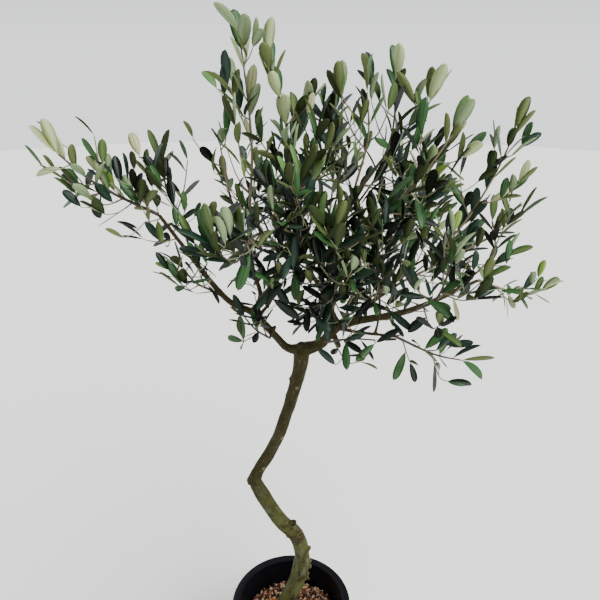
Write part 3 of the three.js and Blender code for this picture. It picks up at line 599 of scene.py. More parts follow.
class Foliage:
    """Every shoot and leaf of the crown."""

    def __init__(self, sizes):
        self.sizes, self.room = sizes, Room()
        self.shoots, self.leaves, self.taken = [], [], {}
        for limb in limbs():
            shoots = grow_shoots(limb, self.room)
            draw = seeded(LEAF_SEED + limb.index)
            self.leaves.append([])
            ends = [self.clothe(shoot, limb, draw) for shoot in shoots]
            for i, shoot in reversed(list(enumerate(shoots))):
                if ends[i] and shoot.parent >= 0:
                    ends[shoot.parent] = max(ends[shoot.parent], shoot.share)
            self.shoots += [shoot._replace(path=shoot.path.split(len(shoot.path.points) - 1, end))
                            for shoot, end in zip(shoots, ends) if end]

    def clothe(self, shoot, limb, draw):
        """Leaves in opposite pairs along a shoot, each pair a quarter turn from the last, and a
        closer pair at its tip. Says at what share of the shoot the last leaf stands."""
        last = 0
        path, light, small = shoot.path, shoot.light, limb.row.size
        spacing = self.sizes.pair_spacing / MM * small * between(INNER_SPACING, light)
        small *= between(INNER_SIZE, light)
        turn = draw() * FULL_TURN
        # The tone that picks the leaf colours follows the shoot's light: painted shade inside the
        # crown, painted light at its edge
        tone = light * TONE_BY_LIGHT + draw() * TONE_DRIFT
        run = spacing * (FIRST_PAIR + FIRST_DRIFT * draw())
        if shoot.rank == 0:
            run += BARE_STEM * path.length
        while run < path.length - spacing * LAST_PAIR:
            share = run / path.length
            turn += FULL_TURN / 4 + PAIR_TWIST * (draw() - 0.5)
            size = small * between(PAIR_SIZES, draw()) * between(SIZE_ALONG, share)
            for half in (0, FULL_TURN / 2):
                if draw() > limb.row.bare * between(LOST_BY_LIGHT, light_at(path.at(share))):
                    wide = between(between((INNER_SPREAD, OUTER_SPREAD), light), draw())
                    if self.place(shoot, limb, share, turn + half, wide,
                                  size * between(LEAF_SIZES, draw()), tone, draw):
                        last = share
            run += spacing * between(PAIR_SPACINGS, draw())
        turn += FULL_TURN / 4
        size = small * between(END_SIZES[shoot.rank], draw())
        for half in (0, FULL_TURN / 2):
            if self.place(shoot, limb, 1, turn + half, TIP_SPREAD, size, tone + TIP_TONE, draw):
                last = 1
        return last

    def place(self, shoot, limb, share, turn, spread, size, tone, draw):
        """Adds a leaf to a shoot where it has room, and says whether it had."""
        sizes, light = self.sizes, shoot.light
        root, heading = shoot.path.at(share), shoot.path.heading(share)
        rise = between(LEAF_RISE, light) * clamp((root.z - HANG_HEIGHT) / HANG_RANGE, -1, 1)
        axis = lean(heading, turn, sizes.leaf_lean * spread)
        level = (1 - abs(heading.z)) ** LEVEL_POWER * light
        rise += level * (LEVEL_RISE if axis.z > LEVEL_LIMIT else LEVEL_HANG)
        axis = (axis + UP * rise).normalized()
        face = heading * FACE_ALONG + UP
        face = (face - axis * face.dot(axis)).normalized()
        face = Matrix.Rotation((draw() - 0.5) * LEAF_ROLL, 3, axis) @ face
        length = sizes.leaf_length / MM * size
        width = sizes.leaf_width / MM * size ** WIDTH_POWER * between(INNER_WIDTH, light)
        chance, fold, arch = draw(), draw(), between(LEAF_ARCH, draw())
        middle, tip = root + axis * length * 0.5, root + axis * length + face * arch * length
        across = axis.cross(face) * width * 0.5
        x, y, z = cell = tuple(int(c // LEAF_ROOM) for c in middle)
        near = (self.taken.get((x + i, y + j, z + k)) for i, j, k in AROUND)
        if any(other is not None and (other - middle).length < LEAF_ROOM for other in near):
            return False
        if not self.room.holds([middle + across, middle - across, tip], limb.index):
            return False
        self.taken[cell] = middle
        # Blade and underside colours by tone: painted shade inside the crown, painted light outside
        # it
        shade = bisect_left(SHADE_SHARES, clamp(chance * SHADE_BY_CHANCE + tone * SHADE_BY_TONE
                                                - SHADE_START))
        underside = int(clamp(tone * UNDER_BY_TONE + (fold - 0.5) * UNDER_BY_FOLD - UNDER_START,
                              0, len(UNDERSIDES) - 0.01))
        self.leaves[limb.index].append(Leaf(root, axis, face, length, width, arch,
                                            between(LEAF_FOLD, fold), shade, underside))
        return True


@cache
def foliage():
    return Foliage(bpy.context.scene.olive_foliage)


# ---- shader helpers

def maths(operation, reflected=False):
    """A method for an operator, or for its reflected form, that adds a Math node."""
    def method(self, other):
        values = (other, self) if reflected else (self, other)
        made = self.finish.node("ShaderNodeMath", dict(enumerate(values)), operation=operation)
        return Number(self.finish, made.outputs[0])
    return method


class Number:
    """A number socket: an expression on it adds the Math nodes that work it out."""

    def __init__(self, finish, socket):
        self.finish, self.socket = finish, socket

    __add__, __radd__ = maths("ADD"), maths("ADD", True)
    __sub__, __rsub__ = maths("SUBTRACT"), maths("SUBTRACT", True)
    __mul__, __rmul__ = maths("MULTIPLY"), maths("MULTIPLY", True)

    def band(self, low, high):
        """0 below low, 1 above high and smooth between them."""
        made = self.finish.node("ShaderNodeMapRange", {
            "Value": self, "From Min": low, "From Max": high}, interpolation_type="SMOOTHSTEP")
        return Number(self.finish, made.outputs["Result"])


class Nodes:
    """The nodes of a material or a world, and the one that they end in."""

    def __init__(self, owner, last):
        owner.use_nodes = True
        self.tree = owner.node_tree
        self.last = self.tree.nodes[last]

    def node(self, kind, inputs, **settings):
        """A node of a kind, with its settings made first and then its sockets' values or links."""
        made = self.tree.nodes.new(kind)
        for name, value in settings.items():
            setattr(made, name, value)
        self.feed(inputs, made)
        return made

    def feed(self, inputs, node=None):
        """Gives sockets of a node, or of the last one, their values or links."""
        for name, value in inputs.items():
            socket = (node or self.last).inputs[name]
            value = value.socket if isinstance(value, Number) else value
            if isinstance(value, bpy.types.NodeSocket):
                self.tree.links.new(value, socket)
            else:
                socket.default_value = value


class Finish(Nodes):
    """A material that ends in one shader."""

    def __init__(self, name, colour, roughness, gloss=0.5):
        self.material = bpy.data.materials.new(name)
        self.material.diffuse_color = (*colour, 1)
        super().__init__(self.material, "Principled BSDF")
        self.feed({"Base Color": (*colour, 1), "Roughness": roughness,
                   "Specular IOR Level": gloss})

    def place(self):
        return self.node("ShaderNodeTexCoord", {}).outputs["Object"]

    def height(self):
        parts = self.node("ShaderNodeSeparateXYZ", {"Vector": self.place()})
        return Number(self, parts.outputs["Z"])

    def attribute(self, name):
        return self.node("ShaderNodeAttribute", {}, attribute_name=name).outputs["Vector"]

    def mark(self, name):
        """A number that the mesh has at each of its points."""
        made = self.node("ShaderNodeAttribute", {}, attribute_name=name)
        return Number(self, made.outputs["Fac"])

    def stretched(self, vector, along):
        """A vector that makes a pattern longer, or shorter, along Z."""
        mapping = self.node("ShaderNodeMapping", {"Vector": vector, "Scale": (1, 1, along)})
        return mapping.outputs["Vector"]

    def noise(self, vector, scale, detail, roughness):
        made = self.node("ShaderNodeTexNoise", {
            "Vector": vector, "Scale": scale, "Detail": detail, "Roughness": roughness})
        return Number(self, made.outputs["Fac"])

    def cells(self, vector, scale):
        made = self.node("ShaderNodeTexVoronoi", {"Vector": vector, "Scale": scale})
        return Number(self, made.outputs["Distance"])

    def mix(self, share, first, second):
        """The first colour where the share is 0 and the second where it is 1."""
        first, second = (c if isinstance(c, bpy.types.NodeSocket) else (*c, 1)
                         for c in (first, second))
        made = self.node("ShaderNodeMix", {"Factor": share, 6: first, 7: second}, data_type="RGBA")
        return made.outputs[2]

    def bump(self, height, depth, strength):
        made = self.node("ShaderNodeBump", {
            "Height": height, "Distance": depth, "Strength": strength})
        self.feed({"Normal": made.outputs["Normal"]})


def plain(settings, name, roughness, gloss=0.5):
    """A finish that is one of the settings' colours all over."""
    return Finish(name, getattr(settings, name.replace(" ", "_")), roughness, gloss)


# ---- mesh helpers

def add_piece(name, mesh, slot, finishes, *replaced):
    """A finished piece of the tree: at the origin, on the one body, in the given finishes. Its slot
    is not used.
    """
    piece = loose(name, mesh)
    for finish in finishes:
        mesh.materials.append(finish.material)
    mesh.shade_smooth()
    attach(piece, "root")
    if replaced:
        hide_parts(*replaced)
    return piece


def loose(name, mesh):
    thing = bpy.data.objects.new(name, mesh)
    bpy.context.scene.collection.objects.link(thing)
    return thing


def mesh_of(name, bm):
    mesh = bpy.data.meshes.new(name)
    bm.to_mesh(mesh)
    bm.free()
    return mesh


def arrays(bm):
    """The vertices and faces of a bmesh that is done with, as an array and a list."""
    vertices = np.array([vert.co for vert in bm.verts])
    faces = [tuple(vert.index for vert in face.verts) for face in bm.faces]
    bm.free()
    return vertices, faces


def only(kind, parts):
    return [part for part in parts if isinstance(part, kind)]


def applied(thing, kind, **settings):
    """The thing's mesh with one modifier applied to it; the thing itself is taken away."""
    modifier = thing.modifiers.new(kind, kind)
    for name, value in settings.items():
        setattr(modifier, name, value)
    bpy.context.view_layer.update()
    mesh = bpy.data.meshes.new_from_object(
        thing.evaluated_get(bpy.context.evaluated_depsgraph_get()))
    bpy.data.meshes.remove(thing.data)
    return mesh


class Heap:
    """Many small things in one mesh: their points in millimetres, their faces, and each face's
    material."""

    def __init__(self):
        self.points, self.faces, self.slots, self.count = [], [], [], 0

    def add(self, points, faces, slots):
        self.faces += [tuple(corner + self.count for corner in face) for face in faces]
        self.points.append(points)
        self.slots += slots
        self.count += len(points)

    def mesh(self, name):
        mesh = bpy.data.meshes.new(name)
        corners = np.fromiter(chain.from_iterable(self.faces), np.int32)
        starts = np.cumsum([0, *map(len, self.faces[:-1])]).astype(np.int32)
        points = np.concatenate(self.points).astype(np.float32).ravel() * MM
        for rows, size, key, values in (
                (mesh.vertices, self.count, "co", points),
                (mesh.loops, len(corners), "vertex_index", corners),
                (mesh.polygons, len(starts), "loop_start", starts)):
            rows.add(size)
            rows.foreach_set(key, values)
        mesh.polygons.foreach_set("material_index", self.slots)
        mesh.update(calc_edges=True)
        mesh.validate()
        return mesh


def add_tube(bm, path, radius_at, sides):
    """A closed tube along a path, extruded ring by ring."""
    rows = path.frames()

    def ring(i):
        here, heading, side, other = rows[i]
        turn = Matrix((side, other, heading)).transposed().to_4x4()
        return Matrix.Translation(here) @ turn @ Matrix.Scale(radius_at(path.runs[i]), 4)

    last = ring(0)
    made = bmesh.ops.create_circle(bm, cap_ends=True, segments=sides, radius=1, matrix=last)
    edges = list({edge for vert in made["verts"] for edge in vert.link_edges})
    for i in range(1, len(rows)):
        made = bmesh.ops.extrude_edge_only(bm, edges=edges)["geom"]
        edges, matrix = only(bmesh.types.BMEdge, made), ring(i)
        bmesh.ops.transform(bm, matrix=matrix @ last.inverted(),
                            verts=only(bmesh.types.BMVert, made))
        last = matrix
    bmesh.ops.holes_fill(bm, edges=edges, sides=0)


# ---- wood

def bough_radius(limb, parent_radius):
    """The radius of a bough from its run in millimetres: a collar swells it where it leaves."""
    def radius(run):
        plain_radius = between(limb.row.thick, run / limb.bough.length) / 2
        past = max(0, run - parent_radius)
        fade = math.exp(-past / (COLLAR_RADII * plain_radius + COLLAR_RUN))
        return plain_radius * (1 + COLLAR * fade)
    return radius


def knot_root(knot):
    """Where a knot starts inside the trunk, its direction square to the trunk, and the trunk's
    radius there."""
    path = trunk_path().in_steps(WOOD_STEP)
    spot = next(i for i, point in enumerate(path.points) if point.z >= knot.height)
    heading = path.points[spot] - path.points[spot - 1]
    bearing = math.radians(knot.bearing)
    out = Vector((math.cos(bearing), math.sin(bearing), 0))
    out -= heading * out.dot(heading) / heading.length_squared
    return path.points[spot], out.normalized(), trunk_thickness(spot / len(path.points)) / 2


def knot_place(knot, share):
    """The place at a share of a knot's rise over the trunk's surface."""
    start, out, radius = knot_root(knot)
    return start + out * (radius + knot.out * share)


def add_stub(bm, start, end, ends):
    """A short tapering tube with a rounded end."""
    path = Path([start.lerp(end, share) for share in STUB_RINGS])

    def radius(run):
        share = run / path.length
        drop = max(0, share - STUB_ROUND_FROM) ** 2 * STUB_CURVE
        return between(ends, share) * math.sqrt(max(STUB_FLAT, 1 - drop))
    add_tube(bm, path, radius, STUB_SIDES)


def rough_wood():
    """The trunk, its knots and every bough, as overlapping closed tubes."""
    bm = bmesh.new()
    path = trunk_path()
    sunk = Path([path.points[0] - UP * TRUNK_SINK, *path.in_steps(WOOD_STEP).points])
    add_tube(bm, sunk, lambda run: trunk_thickness(
        clamp((run - TRUNK_SINK) / path.length)) / 2, TRUNK_SIDES)
    for knot in KNOTS:
        add_stub(bm, knot_root(knot)[0], knot_place(knot, 1), (knot.radius, knot.end))
    for start, end, *ends in STUBS:
        add_stub(bm, Vector(start), Vector(end), ends)
    radii = {"trunk": FORK_RADIUS}
    for limb in limbs():
        radii[limb.row.name] = limb.row.thick[0] / 2
        radius = bough_radius(limb, radii[limb.row.parent])
        add_tube(bm, limb.bough.in_steps(WOOD_STEP), radius, BOUGH_SIDES)
    bmesh.ops.recalc_face_normals(bm, faces=bm.faces)
    bmesh.ops.scale(bm, vec=(MM, MM, MM), verts=bm.verts)
    return loose("rough wood", mesh_of("rough wood", bm))


def straightened(bm):
    """The points of a bmesh, for each its place as if its limb were straight, with the limb's
    length along Z, and the limb's radius there. All in millimetres."""
    rows, radii = [], []
    ways = [(trunk_path(), lambda share: trunk_thickness(share) / 2, 0)]
    for limb in limbs():
        ways.append((limb.bough, lambda share, t=limb.row.thick: between(t, share) / 2,
                     limb.row.thick[0] * PATTERN_FROM))
    for index, (path, radius_at, skip) in enumerate(ways):
        path = path.in_steps(PATTERN_STEP)
        for run, row in zip(path.runs, path.frames()):
            if run >= skip:
                rows.append((*row, run, index * PATTERN_SHIFT))
                radii.append(radius_at(run / path.length))
    tree = KDTree(len(rows))
    for i, row in enumerate(rows):
        tree.insert(row[0], i)
    tree.balance()
    points = np.array([vert.co for vert in bm.verts]) / MM
    places, sizes = np.empty((len(points), 3)), np.empty(len(points))
    for k, point in enumerate(points):
        point = Vector(point)
        _, i, _ = tree.find(point)
        here, heading, side, other, run, shift = rows[i]
        offset = point - here
        places[k] = offset.dot(side) + shift, offset.dot(other), run + offset.dot(heading)
        sizes[k] = radii[i]
    return points, places, sizes


def relief(place, radius):
    """How far the bark stands out of a smooth limb at a place, in millimetres."""
    x, y, z = place
    rough = sum(height * noise.noise((x / width, y / width, z / length + shift))
                for width, length, shift, height in RELIEF)
    return clamp(radius / THICK_LIMB, LEAST_RELIEF, 1) * rough


def flare(point):
    """How far the trunk's foot swells over its roots, in millimetres."""
    foot, thick = TRUNK[0]
    fade = clamp(1 - (point[2] - foot[2]) / FLARE_HEIGHT) ** 2
    angle = math.atan2(point[1] - foot[1], point[0] - foot[0])
    return thick / 2 * FLARE_SWELL * fade * math.cos(FLARE_ROOTS * angle)


@cache
def knot_tips():
    return [(knot_place(knot, 0.5), knot.radius) for knot in KNOTS]


@cache
def dead_ends():
    return [(knot_place(knot, 1), knot.end) for knot in KNOTS if knot.dead]


@cache
def scar_spots():
    return [(knot_place(Knot(height, bearing, 0, 0, 0), 0), 0) for height, bearing in SCARS]


def gap(point, spots):
    """The distance from a point to the nearest of some spots, each with its radius."""
    return min((Vector(point) - spot).length - radius for spot, radius in spots)


def rugged(point):
    """1 where the bark round the knots is broken up, 0 away from them."""
    return max(clamp(BURL_START - (Vector(point) - tip).length / (radius * BURL_REACH))
               for tip, radius in knot_tips())


def burls(point):
    """How far the broken bark stands out at a point, in millimetres."""
    near = rugged(point)
    if near <= 0:
        return 0
    x, y, z = point
    rough = sum(height * noise.noise((x / size, y / size + shift, z / size))
                for size, shift, height in BURLS)
    return near * BURL_RISE * rough


def dead(point):
    """1 on the black broken end of a dead stub, 0 away from it."""
    return clamp(DEAD_START - gap(point, dead_ends()) / DEAD_FADE)


def scar(point):
    """1 on a bud scar, 0 away from it."""
    return clamp((SCAR_RADIUS + SCAR_RIM - gap(point, scar_spots())) / SCAR_FADE)


class OLIVE_OT_grow_wood(bpy.types.Operator):
    """Trunk and boughs in one skin, with knots, collars and the bark's relief"""
    bl_idname = "olive_tree.grow_wood"
    bl_label = "Grow Trunk and Boughs"

    def execute(self, context):
        settings = context.scene.olive_wood
        skin = applied(rough_wood(), "REMESH", mode="VOXEL", voxel_size=settings.fineness,
                       adaptivity=0)
        bm = bmesh.new()
        bm.from_mesh(skin)
        for _ in range(SMOOTHINGS):
            bmesh.ops.smooth_vert(bm, verts=bm.verts, factor=0.5, use_axis_x=True,
                                  use_axis_y=True, use_axis_z=True)
        bm.normal_update()
        for vert, point, place, radius in zip(bm.verts, *straightened(bm)):
            rise = settings.relief / MM * relief(place, radius) + burls(point) + flare(point)
            vert.co += vert.normal * ((rise + SCAR_RISE * scar(point)) * MM)
        bmesh.ops.bisect_plane(bm, geom=[*bm.verts, *bm.edges, *bm.faces],
                               plane_co=(0, 0, (TRUNK[0][0][2] - TRUNK_SINK / 2) * MM),
                               plane_no=(0, 0, -1), clear_outer=True)
        bmesh.ops.holes_fill(bm, edges=[edge for edge in bm.edges if edge.is_boundary], sides=0)
        points, places, radii = straightened(bm)
        mesh = mesh_of("wood", bm)
        straight = mesh.attributes.new("straight", "FLOAT_VECTOR", "POINT")
        straight.data.foreach_set("vector", (places * MM).astype(np.float32).ravel())
        for name, values in (("rugged", map(rugged, points)), ("scar", map(scar, points)),
                             ("dead", map(dead, points)),
                             ("thinness", (1 - clamp(radius / YOUNG_LIMB) for radius in radii))):
            mark = mesh.attributes.new(name, "FLOAT", "POINT")
            mark.data.foreach_set("value", list(values))
        wood = ["trunk"] + [f"bough_{limb.row.name}" for limb in limbs()]
        add_piece("wood", mesh, "bark", [bark_finish(settings)], *wood)
        return {"FINISHED"}


def bark_finish(settings):
    """Olive-brown bark in streaks, greyer and mossy low down, broken up and crusted round the
    knots, and paler on thin boughs."""
    bark = Finish("olive bark", settings.brown, 0.8, 0.16)
    straight = bark.attribute("straight")
    long_grain = bark.stretched(straight, 0.16)
    streaks = bark.noise(long_grain, *STREAKS)
    patches = bark.noise(bark.stretched(straight, 0.5), *PATCHES)
    moss = bark.noise(bark.place(), *MOSS)
    low = 1 - bark.height().band(*MOSS_HEIGHTS)
    specks = 1 - bark.cells(bark.stretched(straight, 0.6), SPECK_SCALE).band(0.09, 0.17)
    cracks = 1 - bark.noise(long_grain, *CRACKS).band(0.30, 0.38)
    knots, broken = bark.mark("rugged"), bark.noise(bark.place(), *BROKEN_BARK)
    young = bark.mark("thinness").band(0.2, 0.75)
    colour = settings.brown
    for share, coat in (
            (streaks.band(0.36, 0.66), settings.olive),
            (patches.band(0.44, 0.66) * (0.15 + 0.7 * low), settings.grey),
            (moss.band(0.40, 0.62) * low * 0.85, settings.moss),
            (specks * 0.35, settings.scar),
            (cracks * 0.6, settings.crack),
            (knots * broken.band(0.5, 0.62) * 0.8, settings.crack),
            (knots * (1 - broken.band(0.38, 0.46)) * 0.7, settings.lichen),
            (bark.mark("scar") * 0.45, settings.scar),
            (bark.mark("dead") * broken.band(0.28, 0.5) * 0.9, settings.crack),
            (young * 0.75 * (0.6 + 0.4 * patches), settings.young)):
        colour = bark.mix(share, colour, coat)
    bark.feed({"Base Color": colour, "Roughness": 0.62 + 0.26 * streaks})
    bark.bump(streaks * 0.6 + patches * 0.5 - cracks * 0.5 + knots * broken * 0.8
              + bark.noise(straight, *BARK_GRAIN) * 0.25, 0.0011, 0.85)
    return bark


# ---- twigs

def ring_tube(path, thick, sides, knobs):
    """Vertices and faces of a slim closed tube, a little thicker at its knobs."""
    angles = np.arange(sides) / sides * FULL_TURN
    rings = []
    for run, (here, _, side, other) in zip(path.runs, path.frames()):
        radius = between(thick, run / path.length) / 2
        away = min(abs(run - knob) for knob in knobs) / KNOB_LENGTH
        radius *= 1 + KNOB_SWELL * math.exp(-away ** 2)
        ring = np.outer(np.cos(angles), side) + np.outer(np.sin(angles), other)
        rings.append(np.array(here) + ring * radius)
    count = len(rings)
    faces = []
    for i in range(count - 1):
        for k in range(sides):
            a, b = i * sides + k, i * sides + (k + 1) % sides
            faces.append((a, b, b + sides, a + sides))
    faces.append(tuple(reversed(range(sides))))
    faces.append(tuple(range((count - 1) * sides, count * sides)))
    return np.concatenate(rings), faces


class OLIVE_OT_grow_twigs(bpy.types.Operator):
    """Leafy stems, twigs and sprigs, joined in one piece, grey where old and green where young"""
    bl_idname = "olive_tree.grow_twigs"
    bl_label = "Grow Twigs"

    def execute(self, context):
        spacing = context.scene.olive_foliage.pair_spacing / MM
        heap, draw = Heap(), seeded(AGE_SEED)
        for shoot in foliage().shoots:
            step, sides = (TWIG_STEP, TWIG_SIDES) if shoot.rank else (STEM_STEP, STEM_SIDES)
            path = shoot.path.in_steps(step)
            knobs = np.arange(spacing * FIRST_KNOB, path.length, spacing)
            points, faces = ring_tube(path, shoot.thick, sides,
                                      knobs if len(knobs) else [path.length / 2])
            age = shoot.rank + (draw() - 0.5) * AGE_DRIFT + shoot.light * AGE_BY_LIGHT
            heap.add(points, faces, [bisect_left(AGES, age)] * len(faces))
        finishes = [plain(context.scene.olive_wood, f"twig {age}", roughness)
                    for age, roughness in TWIG_FINISHES]
        add_piece("twigs", heap.mesh("twigs"), "bark", finishes,
                  *(f"foliage_{row.name}" for row in LIMBS))
        return {"FINISHED"}


# ---- leaves

@cache
def leaf_pattern():
    """One flat leaf as arrays: its vertices along, across and through it as shares of its
    length, half width and thickness, its faces, and whether each is blade, rib or underside."""
    bm = bmesh.new()
    rows = len(LEAF_OUTLINE)
    bmesh.ops.create_grid(bm, x_segments=3, y_segments=rows - 1, size=1)
    upper = bm.faces[:]
    for vert in bm.verts:
        share, half = LEAF_OUTLINE[round((vert.co.y + 1) / 2 * (rows - 1))]
        edge = abs(vert.co.x) > 0.9
        across = vert.co.x if edge else math.copysign(RIB_HALF, vert.co.x)
        rise = 0 if edge else RIB_RISE * min(1, half * RIB_TAPER)
        vert.co = Vector((share, across * half, rise))
    twin = bmesh.ops.duplicate(bm, geom=[*bm.verts, *bm.edges, *bm.faces])["geom"]
    lower = only(bmesh.types.BMFace, twin)
    for vert in {vert for face in lower for vert in face.verts}:
        vert.co.z *= -UNDER_SWELL
    bmesh.ops.reverse_faces(bm, faces=lower)
    for face in upper:
        face.material_index = 1 if abs(face.calc_center_median().y) < RIB_HALF / 3 else 0
    bmesh.ops.remove_doubles(bm, verts=bm.verts, dist=1e-5)
    ends = [edge for edge in bm.edges if edge.is_boundary]
    closing = bmesh.ops.holes_fill(bm, edges=ends, sides=0)["faces"]
    for face in lower + closing:
        face.material_index = 2
    bm.normal_update()
    if sum(face.normal.z * face.calc_area() for face in bm.faces if face.material_index < 2) < 0:
        bmesh.ops.reverse_faces(bm, faces=bm.faces)
    bmesh.ops.triangulate(bm, faces=closing)
    bm.verts.index_update()
    kinds = [face.material_index for face in bm.faces]
    return *arrays(bm), kinds


def leaf_mesh(name, leaves):
    """All the given leaves as one mesh, each arched along its length and folded at its rib."""
    pattern, faces, kinds = leaf_pattern()
    along, across, through = pattern.T
    root, axis, face = (np.array([tuple(getattr(leaf, key)) for leaf in leaves])
                        for key in ("root", "axis", "face"))
    side = np.cross(axis, face)
    length, width, arch, fold = (np.array([getattr(leaf, key) for leaf in leaves])[:, None]
                                 for key in ("length", "width", "arch", "fold"))
    out = (arch * length * along ** 2 + np.abs(across) * width / 2 * fold
           + through * LEAF_THICKNESS)
    vertices = (root[:, None] + axis[:, None] * (along * length)[..., None]
                + side[:, None] * (across * width / 2)[..., None] + face[:, None] * out[..., None])
    heap, shades, ribs = Heap(), len(SHADES), len(SHADES) + len(UNDERSIDES)
    for leaf, points in zip(leaves, vertices):
        # The rib is dark on the painted shade colours and pale on the painted light ones
        slots = leaf.shade, ribs + (leaf.shade >= DARK_SHADES), shades + leaf.underside
        heap.add(points, faces, [slots[kind] for kind in kinds])
    return heap.mesh(name)


class OLIVE_OT_grow_leaves(bpy.types.Operator):
    """Leaves in opposite pairs, glossy above and pale below, joined in two pieces"""
    bl_idname = "olive_tree.grow_leaves"
    bl_label = "Grow Leaves"

    def execute(self, context):
        leaves = foliage().leaves
        total, first = sum(map(len, leaves)), 0
        while sum(map(len, leaves[:first])) < total / 2:
            first += 1
        finishes = [plain(context.scene.olive_foliage, f"{kind} {name}", roughness, gloss)
                    for kind, names, roughness, gloss in LEAF_FINISHES for name in names]
        masses = [f"foliage_{row.name}" for row in LIMBS]
        for name, part in (("leaves_left", slice(first)), ("leaves_right", slice(first, None))):
            mesh = leaf_mesh(name, list(chain(*leaves[part])))
            add_piece(name, mesh, "foliage", finishes, *masses[part])
        return {"FINISHED"}


# ---- pot and bark chips

def pot_radius(height):
    """The radius of the pot's outer wall below its shoulder."""
    return between((POT_BASE_RADIUS, POT_MOUTH_RADIUS - POT_WALL), height / POT_SHOULDER)


class OLIVE_OT_mould_pot(bpy.types.Operator):
    """Round nursery pot, turned in one wall, with a stepped shoulder, a rim and drain holes"""
    bl_idname = "olive_tree.mould_pot"
    bl_label = "Mould Pot"

    def execute(self, context):
        settings = context.scene.olive_pot
        under, lip = POT_HEIGHT - POT_RIM_THICKNESS, POT_HEIGHT - POT_LIP_DROP
        shoulder, lip_inside = POT_MOUTH_RADIUS + POT_WALL, POT_RIM_RADIUS - POT_LIP_THICKNESS
        profile = ((0, 0), (POT_BASE_RADIUS, 0), (pot_radius(POT_SHOULDER), POT_SHOULDER),
                   (shoulder, POT_SHOULDER + POT_SHOULDER_RISE), (shoulder, under),
                   (lip_inside, under), (lip_inside, lip), (POT_RIM_RADIUS, lip),
                   (POT_RIM_RADIUS, POT_HEIGHT), (POT_MOUTH_RADIUS, POT_HEIGHT),
                   (POT_MOUTH_RADIUS, POT_SHOULDER + POT_SHOULDER_INSIDE_RISE),
                   (pot_radius(POT_SHOULDER) - POT_WALL, POT_SHOULDER),
                   (pot_radius(POT_WALL) - POT_WALL, POT_WALL), (0, POT_WALL))
        bm = bmesh.new()
        verts = [bm.verts.new((radius * MM, 0, height * MM)) for radius, height in profile]
        edges = [bm.edges.new(pair) for pair in pairwise(verts)]
        bmesh.ops.spin(bm, geom=[*verts, *edges], axis=UP, cent=(0, 0, 0), angle=FULL_TURN,
                       steps=POT_STEPS, use_merge=True)
        bmesh.ops.remove_doubles(bm, verts=bm.verts, dist=1e-6)
        bmesh.ops.recalc_face_normals(bm, faces=bm.faces)
        turned = [edge for edge in bm.edges if edge.calc_face_angle(0) > ROUNDED_FROM]
        bmesh.ops.bevel(bm, geom=turned, offset=settings.edge, affect="EDGES", segments=3,
                        profile=0.5, material=-1, clamp_overlap=True)
        wall = loose("pot", mesh_of("pot wall", bm))
        bm = bmesh.new()
        for i in range(DRAIN_HOLES):
            hole = Matrix.Rotation(i / DRAIN_HOLES * FULL_TURN, 4, "Z")
            hole @= Matrix.Translation((DRAIN_CIRCLE * MM, 0, 0))
            bmesh.ops.create_cone(bm, cap_ends=True, segments=DRAIN_STEPS,
                                  radius1=DRAIN_RADIUS * MM, radius2=DRAIN_RADIUS * MM,
                                  depth=DRILL_LENGTH * MM, matrix=hole)
        drill = loose("drill", mesh_of("drill", bm))
        mesh = applied(wall, "BOOLEAN", operation="DIFFERENCE", solver="EXACT", object=drill)
        bpy.data.meshes.remove(drill.data)
        mesh.name = "pot_wall"
        add_piece("pot_wall", mesh, "pot", [pot_finish(settings)], "pot")
        mesh.set_sharp_from_angle(angle=SHARP_FROM)
        return {"FINISHED"}


def pot_finish(settings):
    """Black plastic: satin, dusty in patches, scuffed in fine streaks round the wall."""
    black = Finish("pot black", settings.black, 0.42, 0.13)
    place = black.place()
    dust = black.noise(place, *DUST)
    scuffs = black.noise(black.stretched(place, 5), *SCUFFS)
    colour = black.mix(dust.band(0.42, 0.72) * 0.55, settings.black, settings.dust)
    colour = black.mix(scuffs.band(0.62, 0.72) * 0.35, colour, settings.dust)
    roughness = 0.34 + 0.16 * dust + 0.14 * scuffs.band(0.5, 0.7)
    black.feed({"Base Color": colour, "Roughness": roughness})
    black.bump(black.noise(place, *PLASTIC_GRAIN) * 0.4 + scuffs * 0.2, 0.0003, 0.5)
    return black


class OLIVE_OT_scatter_chips(bpy.types.Operator):
    """Bark chips over the soil in five browns, and the dark soil between them"""
    bl_idname = "olive_tree.scatter_chips"
    bl_label = "Scatter Bark Chips"

    def execute(self, context):
        settings = context.scene.olive_pot
        bm = bmesh.new()
        bmesh.ops.create_icosphere(bm, subdivisions=1, radius=1)
        chip, faces = arrays(bm)
        heap, draw, foot = Heap(), seeded(CHIP_SEED), Vector(TRUNK[0][0])
        for _ in range(settings.chips):
            away, turn = CHIP_REACH * math.sqrt(draw()), draw() * FULL_TURN
            size = between(CHIP_SIZES, draw() ** 2)
            shape = Vector((1, between(CHIP_WIDTHS, draw()), between(CHIP_HEIGHTS, draw())))
            tilt = Matrix.Rotation(draw() * FULL_TURN, 3, "Z")
            tilt @= Matrix.Rotation(between(CHIP_ROLL, draw()), 3, "X")
            tilt @= Matrix.Rotation(between(CHIP_PITCH, draw()), 3, "Y")
            dents = np.array([[between(CHIP_DENTS, draw())] for _ in chip])
            x, y = away * math.cos(turn), away * math.sin(turn)
            mound = MOUND_HEIGHT * noise.noise((x / MOUND_WIDTH, y / MOUND_WIDTH, 0))
            place = Vector((x, y, SOIL_TOP + mound + between(CHIP_RISE, draw())))
            if (place - foot).xy.length >= TRUNK[0][1] / 2 + size * CHIP_CLEARANCE:
                body = chip * dents * np.array(shape) * size / 2 @ np.array(tilt).T
                colour = min(int(draw() * CHIP_DRAW), len(CHIP_COLOURS) - 1)
                heap.add(body + np.array(place), faces, [colour] * len(faces))
        finishes = [plain(settings, f"chip {name}", 0.85) for name in CHIP_COLOURS]
        chips = add_piece("bark_chips", heap.mesh("bark_chips"), "soil", finishes)
        chips.data.shade_flat()
        soil = bpy.data.objects["soil"].data
        soil.materials.clear()
        soil.materials.append(soil_finish(settings).material)
        return {"FINISHED"}


